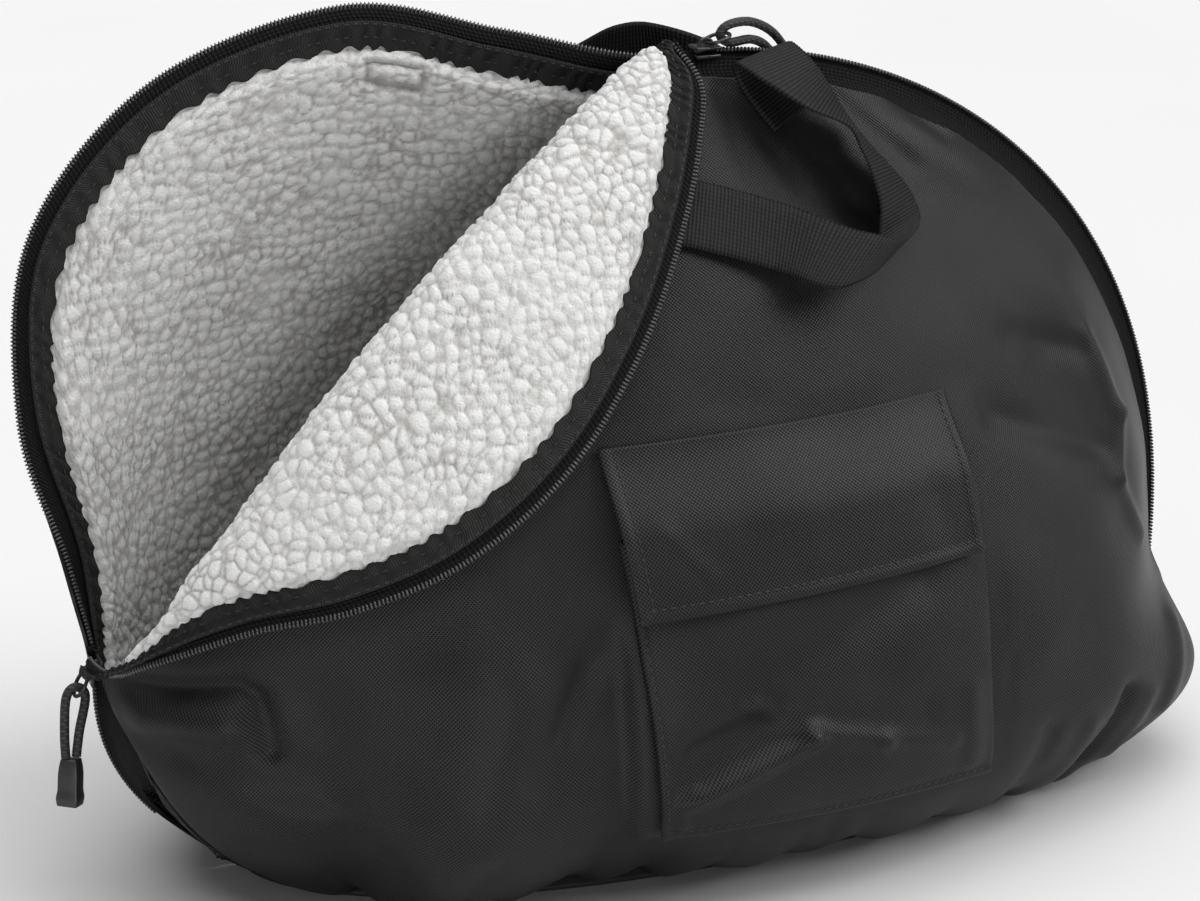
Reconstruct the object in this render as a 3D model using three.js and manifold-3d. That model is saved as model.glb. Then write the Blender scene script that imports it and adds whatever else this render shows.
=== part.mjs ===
// Soft half-moon helmet bag: black nylon over white sherpa, its zip half open and the front corner
// turned down. Millimetres, +Z up: X runs along the bag, -Y is its front, the base rests on z = 0.
import * as THREE from 'three';
import { mergeVertices } from 'three/addons/utils/BufferGeometryUtils.js';
import Module from 'manifold-3d';

const wasm = await Module();
wasm.setup();

// Body form
const REACH_LEFT = 216; // half length at the widest height
const REACH_RIGHT = 210;
const WIDEST = 75; // height of the widest section
const TOP = 285; // height of the zip's crest
const RIM_POWER = 2.15; // fullness of the half-moon outline
const UNDERCUT_LEFT = 108; // how fast the ends tuck in below the widest section
const UNDERCUT_RIGHT = 200;
const BELLY = 110; // half depth at the fullest height
const BELLY_HEIGHT = 55;
const BASE_DEPTH = 50; // half depth of the flat base
const BASE_SHARE = 0.25; // share of the rise that rolls from the base to the belly
const SHOULDER_POWER = 1.7; // how the panels lean together towards the crest
const END_POWER = 2.2; // fullness of a level section
const PLUMP_LOW = 1.9;
const PLUMP_HIGH = 1.25;
const PLUMP_FROM = 40;
const PLUMP_SPAN = 160;
const FLAT_FROM = 0.7; // share of the right half past which the front meets the zip flatter
const FLAT_LOW = 40; // height above which it does, and where it does fully
const FLAT_FULL = 80;
const CORNER_BULGE = 30; // slack cloth in the low right corner
const CORNER_HEIGHT = 32;
const CORNER_SPREAD = 27;
const LOBE_RISE = 3; // how the slack gathers towards the end, and dies out at it
const LOBE_FALL = 6;
const END_FAN = 8; // how soon the panel's columns turn to follow the ends
const GATHER = 1.6; // gathers of the base seam, in and out
const GATHER_HEIGHT = 22;

// Cloth layers, from the outer face inwards
const NYLON = 1.6;
const TAPE_TOP = 2.1;
const TAPE = 0.8;
const BINDING_TOP = 3.7;
const PILE_TOP = 4.2; // sherpa lining
const PILE = 4;
const BINDING = 1.2;
const GAP = 0.3;

// Seams and zip
const BASE_THICKNESS = 2;
const SEAM_HEIGHT = BASE_THICKNESS + GAP; // lower edge of the panels
const ZIP_FOOT = 22; // height where the zip's seam ends
const ZIP_STOP = 30; // height where its tape and coil end
const SLIDER_LEFT_HEIGHT = 84;
const SLIDER_TOP_X = 14;
const REVEAL = 11; // zip tape that shows between coil and nylon
const PILE_SETBACK = 14; // coil to the edge of the sherpa
const TAPE_WIDTH = 15;
const BINDING_FROM = 5.5;
const BINDING_TO = 13;
const COIL = 1.8; // width of one row of teeth
const COIL_SHARE = 1 / 3; // half the solid coil's side, as a share of that
const SLIDER_LENGTH = 10;
const SLIDER_WIDTH = 8.5;
const SLIDER_HEIGHT = 4;
const SLIDER_TOP = 1.5; // outer face above the zip line

// Straps, cords and small parts
const WEBBING = 25;
const WEBBING_THICKNESS = 1.6;
const CORD = 3.3;
const TOGGLE_GAP = 0.4;
const HOOP_RADIUS = 4.6;
const HOOP_WIRE = 0.7;
const HOOP_SIDES = 12;
const HOOP_TILT_LEFT = 0.5; // hoops lean out from their sliders, in radians
const HOOP_TILT_TOP = 0.3;
const BRIDGE_REACH = 2.6; // arch on the slider that holds the hoop
const BRIDGE_HEIGHT = 2.6;
const BRIDGE_WIRE = 0.7;
const BRIDGE_SHOULDER = 0.85; // where the arch turns over, as shares of its reach and height
const BRIDGE_HAUNCH = 0.75;

// The turned-down corner, from the left slider to the top slider: the fold in the front panel and the
// free zip edge, both as places on the front panel, and how high the edge lies above it
const FLAP = [
  { foldX: -207, foldZ: 91, edgeX: -212, edgeZ: 83, lift: 6 },
  { foldX: -194, foldZ: 110, edgeX: -198, edgeZ: 101, lift: 8 },
  { foldX: -177, foldZ: 130, edgeX: -170, edgeZ: 114, lift: 5 },
  { foldX: -155, foldZ: 157, edgeX: -140, edgeZ: 122, lift: 3.2 },
  { foldX: -128, foldZ: 187, edgeX: -104, edgeZ: 137, lift: 3.2 },
  { foldX: -99, foldZ: 213, edgeX: -67, edgeZ: 163, lift: 3.2 },
  { foldX: -71, foldZ: 235, edgeX: -35, edgeZ: 198, lift: 3.2 },
  { foldX: -43, foldZ: 256, edgeX: -11, edgeZ: 234, lift: 4 },
  { foldX: -20, foldZ: 271, edgeX: 1, edgeZ: 258, lift: 6 },
  { foldX: -4, foldZ: 277, edgeX: 7, edgeZ: 270, lift: 7 },
];
const FOLD_RADIUS = 3;
const FOLD_PINCH = 0.8; // fold radius at the sliders
const FOLD_OPEN_POWER = 0.5; // how soon the fold opens away from them
const FLAP_TURN = 0.3; // share of the flap's rows that go round the fold
const TONGUE = 0.012; // the flap's cloth starts inside the panel's cloth
const TONGUE_SLIM = 0.15;

// Free zip edge of the back panel, from the left slider to the top slider
const BACK_EDGE = [
  { x: -217, y: 3, z: 90 },
  { x: -220, y: 24, z: 114 },
  { x: -227, y: 47, z: 163 },
  { x: -215, y: 65, z: 224 },
  { x: -168, y: 70, z: 273 },
  { x: -101, y: 59, z: 297 },
  { x: -48, y: 40, z: 288 },
  { x: -12, y: 20, z: 281 },
  { x: 8, y: 3, z: 284 },
];
const BACK_LEAN_POWER = 2;

// Dents (below zero) and ridges of the front panel, each along a line on it
const FOLDS = [
  { fromX: 150, fromZ: 190, toX: 186, toZ: 120, width: 15, height: 5 },
  { fromX: 132, fromZ: 170, toX: 160, toZ: 112, width: 14, height: -3 },
  { fromX: 178, fromZ: 58, toX: 138, toZ: 26, width: 15, height: -4 },
  { fromX: 75, fromZ: 256, toX: 112, toZ: 236, width: 9, height: 2.5 },
  { fromX: 104, fromZ: 158, toX: 150, toZ: 142, width: 10, height: -2.5 },
  { fromX: -198, fromZ: 72, toX: -158, toZ: 64, width: 10, height: -3 },
  { fromX: -66, fromZ: 102, toX: -88, toZ: 66, width: 12, height: -2.5 },
];

// Outside pocket: corners on the front panel
const POCKET = { left: -50, right: 87, bottom: 36, top: 140, leanLeft: 0, leanRight: 4, rise: 0 };
const COVER = { left: -55, right: 80, bottom: 115, top: 171, leanLeft: 5, leanRight: 6, rise: 3 };
const POCKET_PUFF = 2.2;
const PUFF_POWER = 0.5; // flat middle of the puffed pocket
const COVER_SEWN = 0.45; // share of the cover's height from which it goes down to its sewn edge
const POCKET_CLOTH = 1.2;
const POCKET_GAP = 0.4;

// Front handle: strap centre as a place on the front panel with its lift, and the strap's width
// direction
const HANDLE_FRONT = [
  { x: -50, z: 243, lift: 1.5, wx: 0.34, wy: 0.54, wz: 0.77 },
  { x: -14, z: 236, lift: 1.7, wx: 0.34, wy: 0.54, wz: 0.77 },
  { x: 18, z: 225, lift: 5, wx: 0.34, wy: 0.54, wz: 0.77 },
  { x: 46, z: 213, lift: 9.4, wx: 0.45, wy: 0.5, wz: 0.74 },
  { x: 64, z: 213, lift: 10.5, wx: 0.85, wy: 0.35, wz: 0.4 },
  { x: 69, z: 226, lift: 8, wx: 0.95, wy: 0.25, wz: 0.05 },
  { x: 63, z: 243, lift: 9, wx: 0.6, wy: 0.78, wz: -0.1 },
  { x: 56, z: 252, lift: 13, wx: 0.45, wy: 0.87, wz: -0.15 },
  { x: 46, z: 263, lift: 14, wx: 0.66, wy: 0.72, wz: 0.14 },
  { x: 36, z: 272, lift: 13, wx: 0.9, wy: 0.35, wz: 0.15 },
  { x: 31, z: 279, lift: 8, wx: 0.95, wy: 0.2, wz: 0.2 },
  { x: 34, z: 275, lift: 2, wx: 0.9, wy: 0.28, wz: 0.34 },
  { x: 42, z: 262, lift: 1.6, wx: 0.86, wy: 0.32, wz: 0.4 },
];
// Back handle: strap centre and width direction
const HANDLE_BACK = [
  { x: -82, y: 57.6, z: 247, wx: 0.97, wy: -0.2, wz: 0.1 },
  { x: -80, y: 55, z: 263, wx: 0.95, wy: -0.1, wz: -0.2 },
  { x: -70, y: 60, z: 272, wx: 0.6, wy: 0.1, wz: -0.8 },
  { x: -48, y: 66, z: 268, wx: 0.1, wy: -0.15, wz: -0.97 },
  { x: -22, y: 62, z: 261, wx: -0.2, wy: -0.2, wz: -0.95 },
  { x: 0, y: 50, z: 272, wx: -0.1, wy: -0.15, wz: -0.98 },
  { x: 18, y: 44, z: 272, wx: 0.1, wy: -0.1, wz: -0.98 },
  { x: 33, y: 38, z: 264, wx: -0.5, wy: 0, wz: -0.8 },
  { x: 42, y: 31, z: 253, wx: -0.95, wy: 0.1, wz: -0.2 },
  { x: 43, y: 34.5, z: 240, wx: -0.97, wy: 0.1, wz: 0 },
];

// Pull cords: the doubled cord from one end in the toggle, over the hoop and back to the toggle
const CORD_LEFT = [
  { x: -228.6, y: -5, z: 55.4 },
  { x: -228.2, y: -3.5, z: 64 },
  { x: -226.2, y: 0, z: 75.5 },
  { x: -222.8, y: 0, z: 79.3 },
  { x: -219.4, y: 0, z: 75.5 },
  { x: -223, y: -3.5, z: 64 },
  { x: -224.9, y: -5, z: 55.4 },
];
const CORD_TOP = [
  { x: 58, y: 20.5, z: 269.5 },
  { x: 52, y: 15, z: 279 },
  { x: 44, y: 10, z: 287 },
  { x: 33, y: 4, z: 292.4 },
  { x: 23, y: 0, z: 292.9 },
  { x: 19.5, y: 0, z: 289.7 },
  { x: 23, y: 0, z: 286.5 },
  { x: 33, y: 3.5, z: 286.2 },
  { x: 41.5, y: 8.5, z: 282 },
  { x: 48.5, y: 12.5, z: 274 },
  { x: 54.7, y: 17.8, z: 266 },
];
const TOGGLE = [
  { at: 0, radius: 2.6 },
  { at: 1.5, radius: 3.6 },
  { at: 12.5, radius: 3.4 },
  { at: 13.5, radius: 4.1 },
  { at: 16, radius: 4.2 },
  { at: 17, radius: 3.4 },
];

// Facets
const COLUMNS = 36;
const LEFT_COLUMNS = 4; // beside the closed zip below the left slider
const OPEN_COLUMNS = 16; // between the sliders
const RIGHT_COLUMNS = COLUMNS - LEFT_COLUMNS - OPEN_COLUMNS;
const PILE_SPARE = 1; // columns at each end without lining
const ROWS = 9;
const FLAP_ROWS = 6;
const EDGE_CROWDING = 1.6;
const STEP = 0.004; // for slopes, and for walks along a panel
const WELD = 1e-4;
const HEART = 90; // height inside the bag

const black = (roughness) => ({ color: 0x1b1b1d, roughness, metalness: 0 });
const FINISH = {
  nylon: black(0.62),
  webbing: black(0.8),
  tape: black(0.85),
  coil: black(0.45),
  cord: black(0.75),
  toggle: black(0.5),
  sherpa: { color: 0xe9e6e0, roughness: 1, metalness: 0 },
  metal: { color: 0x2a2a2c, roughness: 0.35, metalness: 0.6 },
};

const bag = new THREE.Group();
const { lerp, clamp, smoothstep } = THREE.MathUtils;

function addPiece(name, geometry, finish) {
  const mesh = new THREE.Mesh(outward(geometry), new THREE.MeshStandardMaterial(FINISH[finish]));
  mesh.name = name;
  bag.add(mesh);
  return mesh;
}

// Turns a closed mesh right side out.
function outward(geometry) {
  const point = geometry.attributes.position;
  const index = geometry.index.array;
  const [a, b, c] = [new THREE.Vector3(), new THREE.Vector3(), new THREE.Vector3()];
  let volume = 0;
  for (let i = 0; i < index.length; i += 3) {
    a.fromBufferAttribute(point, index[i]);
    b.fromBufferAttribute(point, index[i + 1]);
    c.fromBufferAttribute(point, index[i + 2]);
    volume += a.dot(b.cross(c));
  }
  if (volume < 0) geometry.setIndex(Array.from(index).reverse());
  return geometry;
}

function bare(geometry) {
  geometry.deleteAttribute('normal');
  geometry.deleteAttribute('uv');
  return mergeVertices(geometry, WELD);
}

// A wall of cloth: place(column, row, layer) gives the corner points, layer 0 outside and 1 inside.
function wall(columns, rows, place) {
  const geometry = new THREE.BoxGeometry(1, 1, 1, columns, rows, 1);
  const point = geometry.attributes.position;
  for (let i = 0; i < point.count; i++) {
    const column = Math.round((point.getX(i) + 0.5) * columns);
    const row = Math.round((point.getY(i) + 0.5) * rows);
    const p = place(column, row, Math.round(point.getZ(i) + 0.5));
    point.setXYZ(i, p.x, p.y, p.z);
  }
  return outward(bare(geometry));
}

function solidOf(geometry) {
  const mesh = new wasm.Mesh({
    numProp: 3,
    vertProperties: geometry.attributes.position.array,
    triVerts: Uint32Array.from(geometry.index.array),
  });
  return new wasm.Manifold(mesh);
}

function joined(...geometries) {
  const mesh = geometries.map((each) => solidOf(outward(each))).reduce((a, b) => a.add(b)).getMesh();
  const geometry = new THREE.BufferGeometry();
  geometry.setAttribute('position', new THREE.BufferAttribute(mesh.vertProperties, 3));
  geometry.setIndex(new THREE.BufferAttribute(mesh.triVerts, 1));
  return mergeVertices(geometry, WELD);
}

// Outline of the half-moon: half length of a level section
function halfLength(z, right) {
  const reach = right ? REACH_RIGHT : REACH_LEFT;
  const under = right ? UNDERCUT_RIGHT : UNDERCUT_LEFT;
  const share = z >= WIDEST ? (z - WIDEST) / (TOP - WIDEST) : (WIDEST - z) / under;
  return reach * Math.max(1 - share ** RIM_POWER, 0) ** (1 / RIM_POWER);
}

// The rise runs evenly over the panel, from the flat base round the belly to the crest.
function level(rise) {
  if (rise < BASE_SHARE) {
    const turn = (Math.PI / 2) * (rise / BASE_SHARE);
    return {
      z: BELLY_HEIGHT * (1 - Math.cos(turn)),
      depth: BASE_DEPTH + (BELLY - BASE_DEPTH) * Math.sin(turn),
    };
  }
  const share = (rise - BASE_SHARE) / (1 - BASE_SHARE);
  return {
    z: lerp(BELLY_HEIGHT, TOP, share),
    depth: BELLY * (1 - Math.min(share, 1) ** SHOULDER_POWER),
  };
}

function riseAt(z) {
  if (z < BELLY_HEIGHT) return (BASE_SHARE * Math.acos(1 - z / BELLY_HEIGHT)) / (Math.PI / 2);
  return lerp(BASE_SHARE, 1, (z - BELLY_HEIGHT) / (TOP - BELLY_HEIGHT));
}

function plumpness(z) {
  return lerp(PLUMP_LOW, PLUMP_HIGH, smoothstep(z, PLUMP_FROM, PLUMP_FROM + PLUMP_SPAN));
}

function bell(distance, width) {
  return Math.exp(-((distance / width) ** 2));
}

// Height of the dents and ridges at a place on the front panel
function creased(x, z) {
  let height = 0;
  for (const fold of FOLDS) {
    const alongX = fold.toX - fold.fromX;
    const alongZ = fold.toZ - fold.fromZ;
    const share = ((x - fold.fromX) * alongX + (z - fold.fromZ) * alongZ) / (alongX ** 2 + alongZ ** 2);
    const near = clamp(share, 0, 1);
    const distance = Math.hypot(x - fold.fromX - near * alongX, z - fold.fromZ - near * alongZ);
    height += fold.height * bell(distance, fold.width);
  }
  return height;
}

// Outer face of the closed bag at a place along it and a share of the rise; side -1 front, 1 back
function skin(x, rise, side) {
  const { z, depth } = level(rise);
  const half = Math.max(halfLength(z, x > 0), WELD);
  const across = clamp(x / half, -1, 1);
  const flat = side < 0 ? smoothstep(across, FLAT_FROM, 1) * smoothstep(z, FLAT_LOW, FLAT_FULL) : 0;
  const round = (1 - Math.abs(across) ** END_POWER) ** (1 / lerp(plumpness(z), 1, flat));
  const lobe = across > 0 ? across ** LOBE_RISE * (1 - across ** LOBE_FALL) : 0;
  const crease = side < 0 ? creased(x, z) * Math.min(1, 2 * round) : 0;
  const bulge = CORNER_BULGE * lobe * bell(z - CORNER_HEIGHT, CORNER_SPREAD);
  return new THREE.Vector3(across * half + bulge, side * (GAP + depth * round + crease), z);
}

// The zip's half-moon line on the middle plane. An angle of zero is the crest.
function rimAtAngle(angle) {
  const reach = angle < 0 ? -REACH_LEFT : REACH_RIGHT;
  return {
    x: reach * Math.abs(Math.sin(angle)) ** (2 / RIM_POWER),
    z: lerp(WIDEST, TOP, Math.abs(Math.cos(angle)) ** (2 / RIM_POWER)),
  };
}

function rimAtHeight(z, right) {
  return { x: (right ? 1 : -1) * halfLength(z, right), z };
}

const ANGLE_TOP = Math.asin((SLIDER_TOP_X / REACH_RIGHT) ** (RIM_POWER / 2));
const ANGLE_LEFT = -Math.acos(((SLIDER_LEFT_HEIGHT - WIDEST) / (TOP - WIDEST)) ** (RIM_POWER / 2));
const ARC_SHARE = 0.82; // share of the right zip above the widest section

const leftRim = (share) => rimAtHeight(lerp(ZIP_FOOT, SLIDER_LEFT_HEIGHT, share), false);
const openRim = (share) => rimAtAngle(lerp(ANGLE_LEFT, ANGLE_TOP, share));
function rightRim(share) {
  if (share < ARC_SHARE) return rimAtAngle(lerp(ANGLE_TOP, Math.PI / 2, share / ARC_SHARE));
  return rimAtHeight(lerp(WIDEST, ZIP_FOOT, (share - ARC_SHARE) / (1 - ARC_SHARE)), true);
}

function curveOf(rows, x, y) {
  return new THREE.SplineCurve(rows.map((row) => new THREE.Vector2(row[x], row[y])));
}
const foldCurve = curveOf(FLAP, 'foldX', 'foldZ');
const flapEdge = curveOf(FLAP, 'edgeX', 'edgeZ');
const edgeLift = curveOf(FLAP, 'edgeX', 'lift');
const backEdge = new THREE.CatmullRomCurve3(BACK_EDGE.map((p) => new THREE.Vector3(p.x, p.y, p.z)));

// Splits a share of the seam into its stretch: left closed zip, opening, right closed zip.
function stretch(along) {
  const column = along * COLUMNS;
  if (column < LEFT_COLUMNS) return { part: 'left', share: column / LEFT_COLUMNS };
  if (column <= LEFT_COLUMNS + OPEN_COLUMNS) {
    return { part: 'open', share: (column - LEFT_COLUMNS) / OPEN_COLUMNS };
  }
  return { part: 'right', share: (column - LEFT_COLUMNS - OPEN_COLUMNS) / RIGHT_COLUMNS };
}

// A place on a panel: a share along its base seam, and a share up towards the point top of its edge
function panelPoint(along, up, top, side) {
  const across = -Math.cos(Math.PI * along);
  const share = 1 - (1 - up) ** EDGE_CROWDING;
  const rise = lerp(riseAt(SEAM_HEIGHT), riseAt(top.z), share);
  const z = level(rise).z;
  const straight = lerp(across * halfLength(SEAM_HEIGHT, across > 0), top.x, share);
  const topHalf = Math.max(halfLength(top.z, top.x > 0), WELD);
  const parallel = lerp(across, clamp(top.x / topHalf, -1, 1), share) * halfLength(z, straight > 0);
  const point = skin(lerp(straight, parallel, Math.abs(across) ** END_FAN), rise, side);
  point.y += side * GATHER * Math.cos(Math.PI * along * COLUMNS) * bell(z, GATHER_HEIGHT);
  return point;
}

function frontAt(along, up) {
  const { part, share } = stretch(along);
  if (part === 'left') return panelPoint(along, up, leftRim(share), -1);
  if (part === 'right') return panelPoint(along, up, rightRim(share), -1);
  const fold = foldCurve.getPoint(share);
  return panelPoint(along, up, { x: fold.x, z: fold.y }, -1);
}

function backAt(along, up) {
  const { part, share } = stretch(along);
  if (part === 'left') return panelPoint(along, up, leftRim(share), 1);
  if (part === 'right') return panelPoint(along, up, rightRim(share), 1);
  const top = openRim(share);
  const lean = backEdge.getPoint(share).sub(panelPoint(along, 1, top, 1));
  return panelPoint(along, up, top, 1).addScaledVector(lean, up ** BACK_LEAN_POWER);
}

function normalOf(at, u, v) {
  const du = at(Math.min(u + STEP, 1), v).sub(at(Math.max(u - STEP, 0), v));
  const dv = at(u, Math.min(v + STEP, 1)).sub(at(u, Math.max(v - STEP, 0)));
  return at === backAt ? dv.cross(du).normalize() : du.cross(dv).normalize();
}

// Point of a panel at a depth below its outer face
const sunk = (at, u, v, depth) => at(u, v).addScaledVector(normalOf(at, u, v), -depth);

// Closed zip line, sampled to measure how far cloth is from it
const SAMPLES = 60;
const samples = Array.from({ length: SAMPLES + 1 }, (_, i) => i / SAMPLES);
const flatRim = (p) => new THREE.Vector3(p.x, 0, p.z);
const closedRim = [leftRim, rightRim].flatMap((rim) => samples.map((s) => flatRim(rim(s))));
const backRim = [...closedRim, ...samples.map((s) => backEdge.getPoint(s))];

// How far up a panel column the cloth runs when it stops short of the zip
function stopShort(at, along, rim, distance) {
  const clear = (at(along, 1).z - ZIP_FOOT) / (ZIP_STOP - ZIP_FOOT);
  const wanted = distance * Math.min(1, clear);
  let up = 1;
  const distanceAt = (share) => Math.min(...rim.map((p) => p.distanceTo(at(along, share))));
  while (up > 0.5 && distanceAt(up) < wanted) up -= STEP;
  return up;
}

const inOpening = (column) => column > LEFT_COLUMNS && column < LEFT_COLUMNS + OPEN_COLUMNS;
const edgeCache = new Map();
function panelTop(at, column, distance) {
  const key = `${at.name} ${column} ${distance}`;
  if (!edgeCache.has(key)) {
    const along = column / COLUMNS;
    const folded = at === frontAt && inOpening(column);
    const rim = at === frontAt ? closedRim : backRim;
    edgeCache.set(key, folded ? 1 : stopShort(at, along, rim, distance));
  }
  return edgeCache.get(key);
}

// Cloth of a panel, leaving out some columns at each end
function panelWall(at, setback, top, thickness, spare = 0) {
  return wall(COLUMNS - 2 * spare, ROWS, (i, row, layer) => {
    const column = spare + i;
    const up = (row / ROWS) * panelTop(at, column, setback);
    const point = sunk(at, column / COLUMNS, up, top + layer * thickness);
    point.y = at === frontAt ? Math.min(point.y, -GAP) : Math.max(point.y, GAP);
    return point;
  });
}

// The turned-down corner: round the fold, then down over the front to the free zip edge
function foldRadius(share) {
  const open = Math.max(Math.sin(Math.PI * share), 0) ** FOLD_OPEN_POWER;
  return lerp(FOLD_PINCH, FOLD_RADIUS, open);
}

function onFront(x, z, lift) {
  const rise = riseAt(z);
  const dx = skin(x + 1, rise, -1).sub(skin(x - 1, rise, -1));
  const dz = skin(x, rise + STEP, -1).sub(skin(x, rise - STEP, -1));
  return skin(x, rise, -1).addScaledVector(dx.cross(dz).normalize(), lift);
}

function flapLength(share) {
  const fold = foldCurve.getPoint(share);
  const edge = flapEdge.getPoint(share);
  return onFront(fold.x, fold.y, 0).distanceTo(onFront(edge.x, edge.y, 0));
}

// A place on the flap: a column of the panel, a share from the fold to the edge, a depth in its layers
function flapPoint(column, out, depth) {
  const along = column / COLUMNS;
  const { share } = stretch(along);
  const radius = foldRadius(share);
  if (out < FLAP_TURN) {
    const turn = (Math.PI * out) / FLAP_TURN;
    const normal = normalOf(frontAt, along, 1);
    const ahead = frontAt(along, 1).sub(frontAt(along, 1 - STEP));
    ahead.addScaledVector(normal, -ahead.dot(normal)).normalize();
    const point = frontAt(along, 1).addScaledVector(normal, radius - Math.cos(turn) * (radius + depth));
    return point.addScaledVector(ahead, Math.sin(turn) * (radius + depth));
  }
  const run = (out - FLAP_TURN) / (1 - FLAP_TURN);
  const fold = foldCurve.getPoint(share);
  const edge = flapEdge.getPoint(share);
  const lift = lerp(2 * radius, edgeLift.getPoint(share).y, smoothstep(run, 0, 1)) + depth;
  return onFront(lerp(fold.x, edge.x, run), lerp(fold.y, edge.y, run), lift);
}

// Share of the flap at a distance from its free edge, closed up where the flap is narrow
function flapShare(column, distance) {
  const length = flapLength(stretch(column / COLUMNS).share);
  const room = Math.min(1, length / (2 * TAPE_WIDTH));
  const kept = Math.min(distance, COIL) + Math.max(distance - COIL, 0) * room;
  return 1 - (1 - FLAP_TURN) * (kept / length);
}

const FLAP_FIRST = LEFT_COLUMNS + 1;
const FLAP_COLUMNS = OPEN_COLUMNS - 2;

// Cloth of the flap, from inside the panel's cloth round the fold to a distance from the free edge
function flapCloth(setback, top, thickness) {
  return wall(FLAP_COLUMNS, FLAP_ROWS, (i, row, layer) => {
    const column = FLAP_FIRST + i;
    if (row === 0) {
      const inside = top + thickness * lerp(TONGUE_SLIM, 1 - TONGUE_SLIM, layer);
      return sunk(frontAt, column / COLUMNS, 1 - TONGUE, inside);
    }
    const out = lerp(0, flapShare(column, setback), row / FLAP_ROWS);
    return flapPoint(column, out, top + layer * thickness);
  });
}

// A band along the flap's free edge, between two distances from it
function flapBand(rows, from, to, top, thickness) {
  return wall(FLAP_COLUMNS - 1, rows, (i, row, layer) => {
    const column = FLAP_FIRST + 1 + i;
    const out = lerp(flapShare(column, from), flapShare(column, to), row / rows);
    return flapPoint(column, out, top + layer * thickness);
  });
}

// Panels and lining
const flapNylon = flapCloth(REVEAL, 0, NYLON);
addPiece('shell_front', joined(panelWall(frontAt, REVEAL, 0, NYLON), flapNylon), 'nylon');
addPiece('shell_back', panelWall(backAt, REVEAL, 0, NYLON), 'nylon');
const flapPile = flapCloth(PILE_SETBACK, PILE_TOP, PILE);
const frontPile = panelWall(frontAt, PILE_SETBACK, PILE_TOP, PILE, PILE_SPARE);
addPiece('lining_front', joined(frontPile, flapPile), 'sherpa');
addPiece('lining_back', panelWall(backAt, PILE_SETBACK, PILE_TOP, PILE, PILE_SPARE), 'sherpa');

// Base: flat plates inside the outline of the panels' lower edge
const BASE_POINTS = 24;
const LINING_INSET = 4;
const LINING_ENDS = 3; // the inset is this much larger at the pointed ends
function basePlate(inset, thickness) {
  const rise = riseAt(SEAM_HEIGHT);
  const outline = [];
  for (const side of [-1, 1]) {
    for (let i = 0; i < BASE_POINTS; i++) {
      const across = side * Math.cos((Math.PI * i) / BASE_POINTS);
      const edge = skin(across * halfLength(SEAM_HEIGHT, across > 0), rise, side);
      const shorter = 1 - (LINING_ENDS * inset) / REACH_LEFT;
      outline.push(new THREE.Vector2(edge.x * shorter, edge.y * (1 - inset / BASE_DEPTH)));
    }
  }
  const options = { depth: thickness, bevelEnabled: false };
  return bare(new THREE.ExtrudeGeometry(new THREE.Shape(outline), options));
}
addPiece('base_panel', basePlate(0, BASE_THICKNESS), 'nylon');
addPiece('lining_base', basePlate(LINING_INSET, PILE), 'sherpa').position.z = BASE_THICKNESS + GAP;

// Open zip: tapes, coils and the ribbed binding inside them
const TAPE_TO = COIL + 2 * GAP;
addPiece('zip_tape_flap', flapBand(2, TAPE_WIDTH, TAPE_TO, TAPE_TOP, TAPE), 'tape');
addPiece('binding_flap', flapBand(1, BINDING_TO, BINDING_FROM, BINDING_TOP, BINDING), 'tape');

// Share up a back column at a distance from the open edge, measured along the column
function backShare(column, distance) {
  const along = column / COLUMNS;
  let up = 1;
  while (backAt(along, up).distanceTo(backAt(along, 1)) < distance) up -= STEP / 2;
  return up;
}

function backBand(rows, from, to, top, thickness) {
  return wall(FLAP_COLUMNS, rows, (i, row, layer) => {
    const column = FLAP_FIRST + i;
    const up = lerp(backShare(column, from), backShare(column, to), row / rows);
    return sunk(backAt, column / COLUMNS, up, top + layer * thickness);
  });
}
addPiece('zip_tape_back', backBand(2, TAPE_WIDTH, TAPE_TO, TAPE_TOP, TAPE), 'tape');
addPiece('binding_back', backBand(1, BINDING_TO, BINDING_FROM, BINDING_TOP, BINDING), 'tape');

// A square coil along a line of points
function coil(points) {
  const half = COIL * COIL_SHARE;
  const section = new THREE.Shape();
  section.moveTo(-half, -half);
  section.lineTo(half, -half);
  section.lineTo(half, half);
  section.lineTo(-half, half);
  const path = new THREE.CatmullRomCurve3(points);
  const options = { steps: FLAP_COLUMNS * 2, bevelEnabled: false, extrudePath: path };
  return bare(new THREE.ExtrudeGeometry(section, options));
}
const openColumns = Array.from({ length: FLAP_COLUMNS + 1 }, (_, i) => FLAP_FIRST + i);
const flapCoil = openColumns.map((column) => flapPoint(column, flapShare(column, COIL / 2), TAPE_TOP));
const backCoil = openColumns.map((column) => {
  return sunk(backAt, column / COLUMNS, backShare(column, COIL / 2), TAPE_TOP);
});
addPiece('zip_coil_flap', coil(flapCoil), 'coil');
addPiece('zip_coil_back', coil(backCoil), 'coil');

// Closed zip: both tapes and the meshed coil in one strip over the rim
const ZIP_BANDS = [
  { distance: 0, top: 0, bottom: 1.8 },
  { distance: 1.5, top: 0.2, bottom: 1.6 },
  { distance: 4, top: TAPE_TOP, bottom: TAPE_TOP + TAPE },
  { distance: REVEAL - GAP, top: TAPE_TOP + TAPE, bottom: TAPE_TOP + 2 * TAPE },
];

const ZIP_NEAR = 0.7; // for the slope across the strip

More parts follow.
